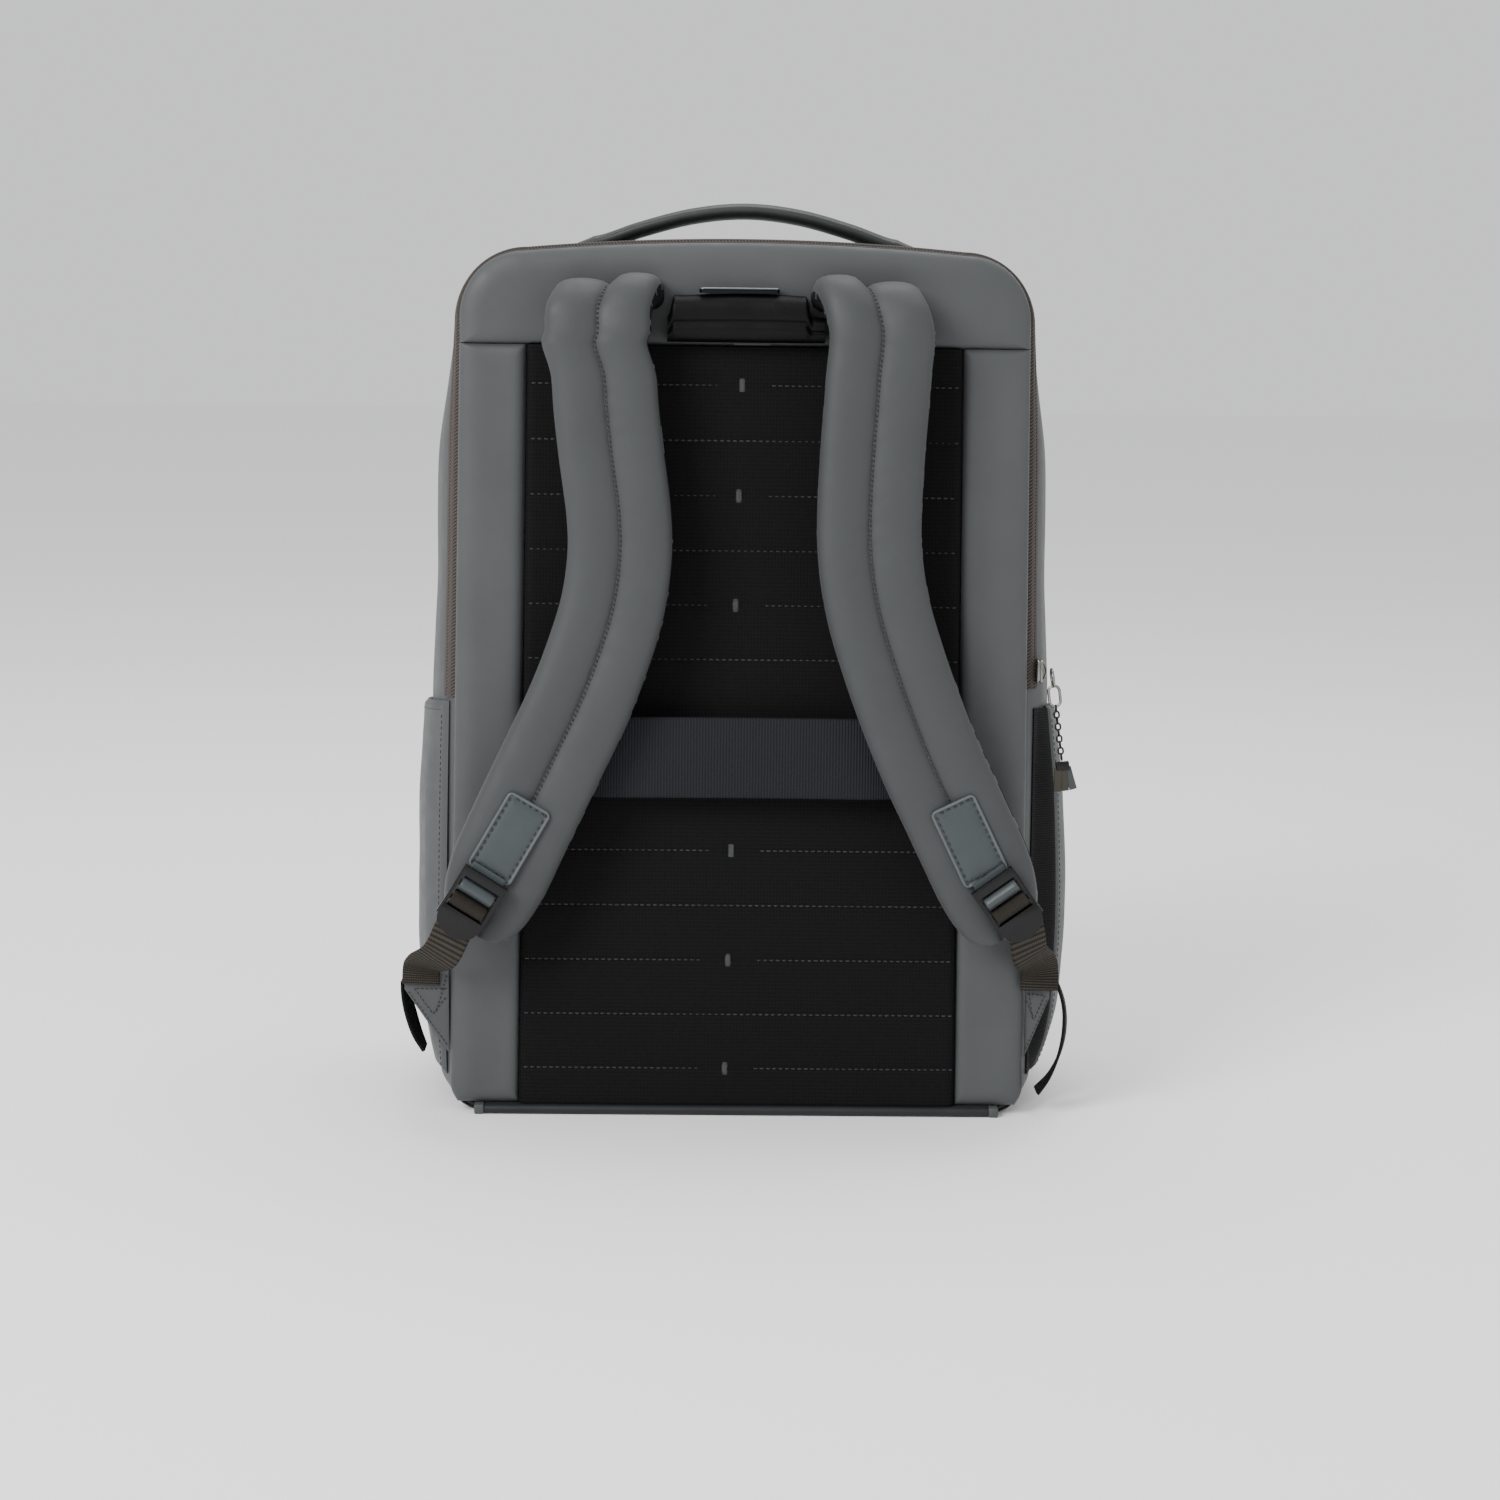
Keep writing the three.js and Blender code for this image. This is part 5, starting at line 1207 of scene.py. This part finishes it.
lean = lean_to - lean_from
frames = path_frames(handle_places, 140, lambda share: lean)
handle_ring = HANDLE_RIM + [(-across_share, face) for across_share, face in HANDLE_RIM[-2:0:-1]]
rings = []
for k, (place, along, across, facing) in enumerate(frames):
    facing = facing if facing.z > 0 else -facing
    end = clamp(min(k, len(frames) - 1 - k) / HANDLE_END_FRAMES)
    half_t = (HANDLE_THICKNESS / 2 + 0.9) * mix(0.5, 1, end)
    sink = (1 - end) * 1.3
    rings.append([place + across * (u * HANDLE_WIDTH / 2) + facing * (w * half_t - sink)
                  for u, w in handle_ring])
handle = closed_tube("top_handle_cover", rings, (56, 190))
apply_modifier(handle, "SUBSURF", levels=1, render_levels=1)
dress(handle, 60, handle_leather, "handle_cover", "top_handle")
edge_lines = [[p + a * (hand * 0.76 * HANDLE_WIDTH / 2) + (f if f.z > 0 else -f) * 2.2
               for p, _, a, f in frames[HANDLE_END_FRAMES:-HANDLE_END_FRAMES]] for hand in (-1, 1)]
stitch_row("handle_stitches", edge_lines, 3.2, 2.1, 0.5, black_thread, "handle_cover",
           lambda place: (0, 0, 1))

# Zip tape: brown-grey woven tape of the reverse-coil zip that runs over the top from pocket to pocket
# Two halves meet in a fine groove, each with slanting woven ribs, and a bar-tack closes the left end.
TAPE_SHARES = (0.004, 0.0667)
TAPE_ENDS = (219, 212)
TAPE_SECTION = [(0, 0.35), (0.09, 1.6), (0.3, 1.9), (0.46, 1.85), (0.5, 1.25), (0.54, 1.85), (0.7, 1.9),
                (0.91, 1.6), (1, 0.35)]


def side_at(z):
    """The outline's parameter on the right side at height z."""
    low = BACK_EDGE["base_radius"]
    return BASE_END + (z - low) / (shoulder_height(BACK_EDGE) - low) * (SIDE_END - BASE_END)


def tape_skin(u, v):
    t = mix(side_at(TAPE_ENDS[0]), PLACES - side_at(TAPE_ENDS[1]), u)
    return gusset_place(t, mix(*TAPE_SHARES, v), eased(TAPE_SECTION, v))


def zip_weave():
    finish, tree, shader = new_finish("brown_grey_zip_weave", Roughness=0.78, Specular_IOR_Level=0.2,
                                      Sheen_Weight=0.1)
    place = add_node(tree, "UVMap").outputs["UV"]
    turned = add_node(tree, "Mapping", [("Vector", place)], Rotation=(0, 0, math.radians(38)))
    ribs = add_node(tree, "TexWave", [("Vector", turned.outputs[0])], Scale=330.0, Distortion=0.6, Detail=1.0)
    # the twill's slanting ribs: the weave's own lines, with painted highlight on their crests and painted
    # shade between them
    add_node(tree, "Mix", [("Factor", ribs.outputs["Fac"])], [(2, shader.inputs["Base Color"])],
             {6: linear("#1f1b19"), 7: linear("#4c443f")}, data_type="RGBA")
    add_node(tree, "Bump", [("Height", ribs.outputs["Fac"])], [("Normal", shader.inputs["Normal"])],
             Strength=0.7, Distance=0.0003)
    return finish


tape_weave = zip_weave()
tape = grid("zip_tape_cover", 420, 24, tape_skin, size=(690, 10))
face_outwards(tape)
apply_modifier(tape, "SOLIDIFY", thickness=0.0005, offset=-1)
dress(tape, 60, tape_weave, "zip_cloth", "zip_tape")

TACK_LIFT, TACK_PITCH = 1.5, 0.7
tack_lines = []
for k in range(4):
    t = PLACES - side_at(TAPE_ENDS[1] + TACK_LIFT + k * TACK_PITCH)
    tack_lines.append([Vector(gusset_place(t, 0.008, 1.7)), Vector(gusset_place(t, 0.062, 1.9))])
stitch_row("zip_bar_tack", tack_lines, 9, 8.6, 0.55, black_thread, "zip_cloth", lambda place: (-1, 0, 0))

# Seam shadow cords: a thin black cord laid along a seam as painted shade, where the seam shows a dark line.
# One runs between the back pads and the tape, and another round the front panel.
SHADOW_CORD_RADIUS = 0.7
SHADOW_CORD_STEPS = 300


def wire_ring(centre, outward, radius, sides=8):
    """Places round a wire's section, which outward and +Y span."""
    turns = [j / sides * 2 * math.pi for j in range(sides)]
    return [centre + (outward * math.cos(a) + Vector((0, 1, 0)) * math.sin(a)) * radius for a in turns]


# each cord is painted shade along its seam, not a sewn piping
for name, share, out, forward in (("seam_shadow_cord", 0.0, -0.15, -0.25), ("front_seam_shadow_cord", 0.985, -0.3, 1.6)):
    path = [Vector(gusset_place(k / SHADOW_CORD_STEPS * PLACES, share, out)) + Vector((0, forward, 0))
            for k in range(SHADOW_CORD_STEPS)]
    rings = []
    for k, place in enumerate(path):
        along = (path[(k + 1) % SHADOW_CORD_STEPS] - path[k - 1]).normalized()
        side_way = Vector((0, 1, 0)).cross(along).normalized()
        place = Vector((place.x, place.y, max(place.z, 0.8)))
        rings.append(wire_ring(place, side_way, SHADOW_CORD_RADIUS))
    rings.append(rings[0])
    shadow_cord = closed_tube(name, rings, (1380, 4.4), cap=False)
    dress(shadow_cord, 180, black_thread, "zip_cloth")

# Slider and puller: a bright nickel-plated slider with a bridge on its back, just above the right pocket
# A ring and an oval link of the same plating hang from the bridge, and a fine blackened chain from them.
SLIDER_SIZE = (8, 12)
SLIDER_CORNER = 2.5
SLIDER_PROFILE = [(0.5, 0), (0, 0.4), (0, 1.0), (0.9, 1.25), (0.9, 1.75), (0, 2.0), (0, 2.7), (0.4, 3.0)]
SLIDER_SEAT = 1.5
CHAIN_LINKS = 9
CHAIN_LINK = (3.3, 2.4, 0.5)
SLIDER_PLACE = Vector((149.84, 12.57, 227.56))
PULLER_TOP = Vector((155.8, 11.0, 229.5))
PULLER_LEAN = math.atan2(6.7, 48)
bright_nickel = anodised("bright_nickel", "#85827e", 0.26)
black_nickel = anodised("black_nickel", "#2c2b2b", 0.3)


def join(parts, name):
    """Joins pieces into the first one, which keeps its place and takes the name."""
    bpy.ops.object.select_all(action="DESELECT")
    for part in parts:
        part.select_set(True)
    bpy.context.view_layer.objects.active = parts[0]
    bpy.ops.object.join()
    parts[0].name = name
    return parts[0]


slider = rounded_plate("zip_slider_body", *SLIDER_SIZE, SLIDER_CORNER, SLIDER_PROFILE)
bpy.ops.mesh.primitive_torus_add(major_radius=3.4, minor_radius=0.62, major_segments=28, minor_segments=8)
bridge = bpy.context.object
edit(bridge, lambda: bpy.ops.transform.rotate(value=math.pi / 2, orient_axis="Y"),
     lambda: bpy.ops.transform.resize(value=(1.6, 1.35, 1.0)))
for vertex in bridge.data.vertices:
    x, y, z = vertex.co
    vertex.co = Vector((x, y, 2.4 + max(z, -0.4) * 0.72))
for part in (slider, bridge):
    place_material(part, bright_nickel)
join([slider, bridge], "zip_slider_body")
slider_turn = Matrix(((0, 0, 1), (1, 0, 0), (0, 1, 0))).to_4x4()
lay(slider, Matrix.Translation(SLIDER_PLACE - Vector((SLIDER_SEAT, 0, 0))) @ slider_turn)
dress(slider, 45, None, "puller_metal", "zip_slider")

hanging = Matrix.Translation(PULLER_TOP) @ Matrix.Rotation(-PULLER_LEAN, 4, "Y")
quarter = Matrix.Rotation(math.pi / 2, 4, "Z")


def link(length, width, wire, centre_down, turned):
    """An upright oval link whose wire lies in the XZ plane, or a quarter turn from it."""
    steps, rings = 26, []
    straight, radius = (length - width) / 2, width / 2
    for k in range(steps + 1):
        angle = 2 * math.pi * k / steps
        outward = Vector((math.cos(angle), 0, math.sin(angle)))
        end = straight if math.sin(angle) > 0 else -straight
        rings.append(wire_ring(Vector((outward.x * radius, 0, outward.z * radius + end)), outward, wire))
    turn = quarter if turned else Matrix.Identity(4)
    link_frame = hanging @ Matrix.Translation((0, 0, -centre_down)) @ turn
    return [[link_frame @ place for place in ring] for ring in rings]


def hung_link(name, length, width, wire, down, turned, finish):
    rings = link(length, width, wire, down + length / 2 + wire, turned)
    piece = closed_tube(name, rings, (20, 3), cap=False)
    shade(piece, 180)
    place_material(piece, finish)
    return piece, down + length - 0.4 * wire


parts = []
down = 0
for name, length, width, wire, turned, finish in [("puller_ring", 8.8, 8.8, 0.75, True, bright_nickel),
                                                  ("puller_oval", 10.5, 5.6, 0.75, False, bright_nickel)]:
    piece, down = hung_link(name, length, width, wire, down, turned, finish)
    parts.append(piece)
for k in range(CHAIN_LINKS):
    piece, down = hung_link(f"puller_link_{k + 1}", *CHAIN_LINK, down, k % 2 == 0, black_nickel)
    parts.append(piece)
chain = join(parts, "puller_chain_links")
belong(chain, "puller_metal", "puller_chain")

# Tassel: three short leather strips, two olive-brown and one blue-grey, at the end of the chain
# Their upper ends are clamped in a small black moulded head.
STRIP_LEAN = 0.16
STRIP = ((-1.9, -0.7, -15), (1.9, 0.7, -3))
HEAD = ((-3.4, -1.6, -4.2), (3.4, 1.6, 0))
olive_leather = leather("olive_tassel_leather", "#2f2b22", 0.5)
tassel_frame = hanging @ Matrix.Translation((0, 0, -down - 1.2 - 0.3))


def block(name, low, high, frame_matrix, finish, rounding=0.25):
    bpy.ops.mesh.primitive_cube_add(size=1)
    piece = bpy.context.object
    piece.name = name
    for vertex in piece.data.vertices:
        vertex.co = Vector(mix(low[i], high[i], vertex.co[i] + 0.5) for i in range(3))
    place_material(piece, finish)
    lay(piece, frame_matrix)
    if rounding:
        apply_modifier(piece, "BEVEL", width=rounding / 1000, segments=3)
    shade(piece, 45)
    return piece


parts = [block("tassel_head", *HEAD, tassel_frame, black_acetal, 0.5)]
for k in (-1, 0, 1):
    leaning = Matrix.Translation((1.8 * k, 0.55 * k, 0)) @ Matrix.Rotation(-STRIP_LEAN * k, 4, "Y")
    parts.append(block(f"tassel_strip_{k + 2}", *STRIP, tassel_frame @ leaning,
                       olive_leather if k < 1 else patch_leather, 0.22))
tassel = join(parts, "puller_tassel_strips")
belong(tassel, "tassel_leather", "puller_tassel")

# Side pockets: flat pockets of coated cloth, hemmed at the top and sewn to the gusset
# The left one is sewn all along. The right one stands open at its rear edge, where a black stretch gusset
# closes it.
POCKET_FOOT = 17
POCKET_TOP = 210
POCKET_WALL = 2.4
POCKET_LENGTH = POCKET_TOP - POCKET_FOOT
POCKET_DEPTH = 130
HEM_DEPTH = 0.35
LEFT_POCKET = {"fullness": 6.5, "shares": (0.03, 0.9), "cut": (0.124, 0.0232),
               "down": [(0, 0.15), (0.25, 0.7), (0.55, 1), (0.82, 0.9), (0.93, 0.5), (1, 0)],
               "depth": [(0.03, 0.1), (0.16, 0.75), (0.4, 1), (0.65, 1), (0.8, 0.6), (0.9, 0)]}
RIGHT_POCKET = {"fullness": 11.5, "shares": (0.14, 0.9), "cut": (0.112, 0.0202),
                "down": [(0, 0.12), (0.115, 0.4), (0.24, 0.68), (0.54, 1), (0.82, 0.88), (0.93, 0.5), (1, 0)],
                "depth": [(0.14, 0.74), (0.25, 1), (0.45, 0.85), (0.65, 0.75), (0.8, 0.45), (0.9, 0)]}


def pocket_stand(pocket, share, down_share):
    return 0.3 + pocket["fullness"] * eased(pocket["down"], down_share) * eased(pocket["depth"], share)


def pocket_skin(pocket, side, lift=0.0):
    low, high = pocket["shares"]

    def skin(u, v):
        share, down_share = mix(low, high, crowded(u, 0.5)), 1 - crowded(v, 0.6)
        z = mix(POCKET_FOOT, POCKET_TOP, 1 - down_share)
        t = side_at(z) if side > 0 else PLACES - side_at(z)
        rim = min(min(u, 1 - u) * (high - low) * POCKET_DEPTH,
                  min(down_share, 1 - down_share) * POCKET_LENGTH)
        turned = 1.7 * math.exp(-((rim / 1.5) ** 2))
        middle = clamp(rim / 25)
        ripple = (0.9 * noise.noise(Vector((share * 2.2, side * 4, z / 70))) +
                  0.35 * noise.noise(Vector((share * 9, side * 7, z / 24)))) * middle
        hem = HEM_DEPTH * smooth_step(down_share, 0.048, 0.056)
        stand = pocket_stand(pocket, share, down_share) + POCKET_WALL
        return gusset_place(t, share, stand - turned + ripple - hem * 0.6 * middle + lift)
    return skin


for word, side, pocket in (("left", -1, LEFT_POCKET), ("right", 1, RIGHT_POCKET)):
    cover = grid(f"side_pocket_cloth_{word}", 90, 110, pocket_skin(pocket, side), size=(115, 193))
    face_outwards(cover)
    apply_modifier(cover, "SOLIDIFY", thickness=0.0015, offset=-1)
    dress(cover, 60, grey_polyester, "coated_cloth", f"side_pocket_{word}")
    skin = pocket_skin(pocket, side, 0.12)
    hem_line = [Vector(skin(0.06 + 0.9 * k / 80, 0.948)) for k in range(81)]
    edge_line = [Vector(skin(0.05, 0.03 + 0.9 * k / 100)) for k in range(101)]
    stitch_row(f"pocket_stitches_{word}", [hem_line, edge_line], 3.0, 2.0, 0.45, black_thread, "coated_cloth",
               lambda place, side=side: (side, 0, 0))


def pocket_gusset_skin(u, v):
    z = mix(POCKET_FOOT + 1, POCKET_TOP - 1, v)
    down_share = 1 - v
    t = side_at(z)
    out = mix(0.9, pocket_stand(RIGHT_POCKET, 0.14, down_share) + 1.4, smooth_step(u, 0.05, 0.95))
    slack = 1.1 * math.sin(u * math.pi) * (math.sin(z / 4.6 + u * 3) * 0.28 - 0.8)
    return gusset_place(t, mix(0.05, 0.142, u), max(out + slack, 0.9))


stretch_cloth = ribbed_webbing("black_stretch_cloth", "#141415", "#080808", 1.3, 0.0002)
pocket_gusset = grid("pocket_gusset_cloth", 20, 150, pocket_gusset_skin, size=(14, 193))
face_outwards(pocket_gusset)
apply_modifier(pocket_gusset, "SOLIDIFY", thickness=0.0006, offset=-1)
dress(pocket_gusset, 60, stretch_cloth, "air_mesh", "pocket_gusset_right")

# Base rail: a strip of dark coated cloth folded round a flat bar
# It is sewn under the back edge of the base, between two small grey tabs of the same cloth as the bag.
RAIL_HALF = 128
RAIL_TOP = 5
RAIL_FRONT = 8
RAIL_TAB = (128.3, 133.3)
rail_cloth = coated_polyester("dark_rail_cloth", "#141619", "#1b1d20", 0.5)
RAIL_SECTION = [(-3.3, 1.6), (-3.4, 2.5), (-3.1, 3.6), (-2.3, 4.6), (-1.2, RAIL_TOP), (3, RAIL_TOP),
                (RAIL_FRONT, RAIL_TOP), (RAIL_FRONT, 0), (3, 0), (-1.2, 0), (-2.3, 0.3), (-3.0, 0.9)]
rings = []
for k in range(81):
    x = mix(-RAIL_HALF, RAIL_HALF, k / 80)
    wave = 0.18 * noise.noise(Vector((x / 12, 3, 1)))
    rings.append([Vector((x, y + (wave if y < 0 else 0), z)) for y, z in RAIL_SECTION])
rail = closed_tube("base_rail_cover", rings, (34, 256))
dress(rail, 50, rail_cloth, "rail_cover", "base_rail")
for word, side in (("left", -1), ("right", 1)):
    low_x, high_x = sorted(side * x for x in RAIL_TAB)
    tab = block(f"rail_tab_cloth_{word}", (low_x, -3.4, 0), (high_x, RAIL_FRONT, RAIL_TOP),
                Matrix.Identity(4), grey_polyester, 0.9)
    belong(tab, "coated_cloth", f"rail_tab_{word}")

# Stage: a plain pale floor and soft studio light
# A wide soft light from the upper left, a weaker one from the right, one from above and a pale surround.
bpy.ops.object.select_all(action="DESELECT")
bpy.ops.mesh.primitive_plane_add(size=14, location=(0, 2, 0))
floor = bpy.context.object
floor.name = "floor"
pale_floor = new_finish("pale_studio_floor", Roughness=0.9, Specular_IOR_Level=0.1,
                        Base_Color=linear("#fbfbfa"))[0]
place_material(floor, pale_floor)

world = bpy.data.worlds.new("pale_surround")
bpy.context.scene.world = world
world.use_nodes = True
surround = world.node_tree.nodes["Background"]
surround.inputs["Color"].default_value = linear("#f4f5f6")
surround.inputs["Strength"].default_value = 1.0


def studio_light(name, place, aim, size, power):
    bpy.ops.object.light_add(type="AREA", location=place)
    light = bpy.context.object
    light.name = name
    light.data.shape = "RECTANGLE"
    light.data.size, light.data.size_y = size
    light.data.energy = power
    light.rotation_euler = (Vector(aim) - Vector(place)).to_track_quat("-Z", "Y").to_euler()


studio_light("key_light", (-1.5, -1.9, 1.7), (0, 0, 0.24), (1.1, 1.4), 84)
studio_light("fill_light", (1.8, -1.4, 0.9), (0, 0, 0.22), (1.0, 1.4), 5)
studio_light("top_light", (0.2, 0.4, 2.0), (0, 0, 0.3), (1.4, 1.0), 20)
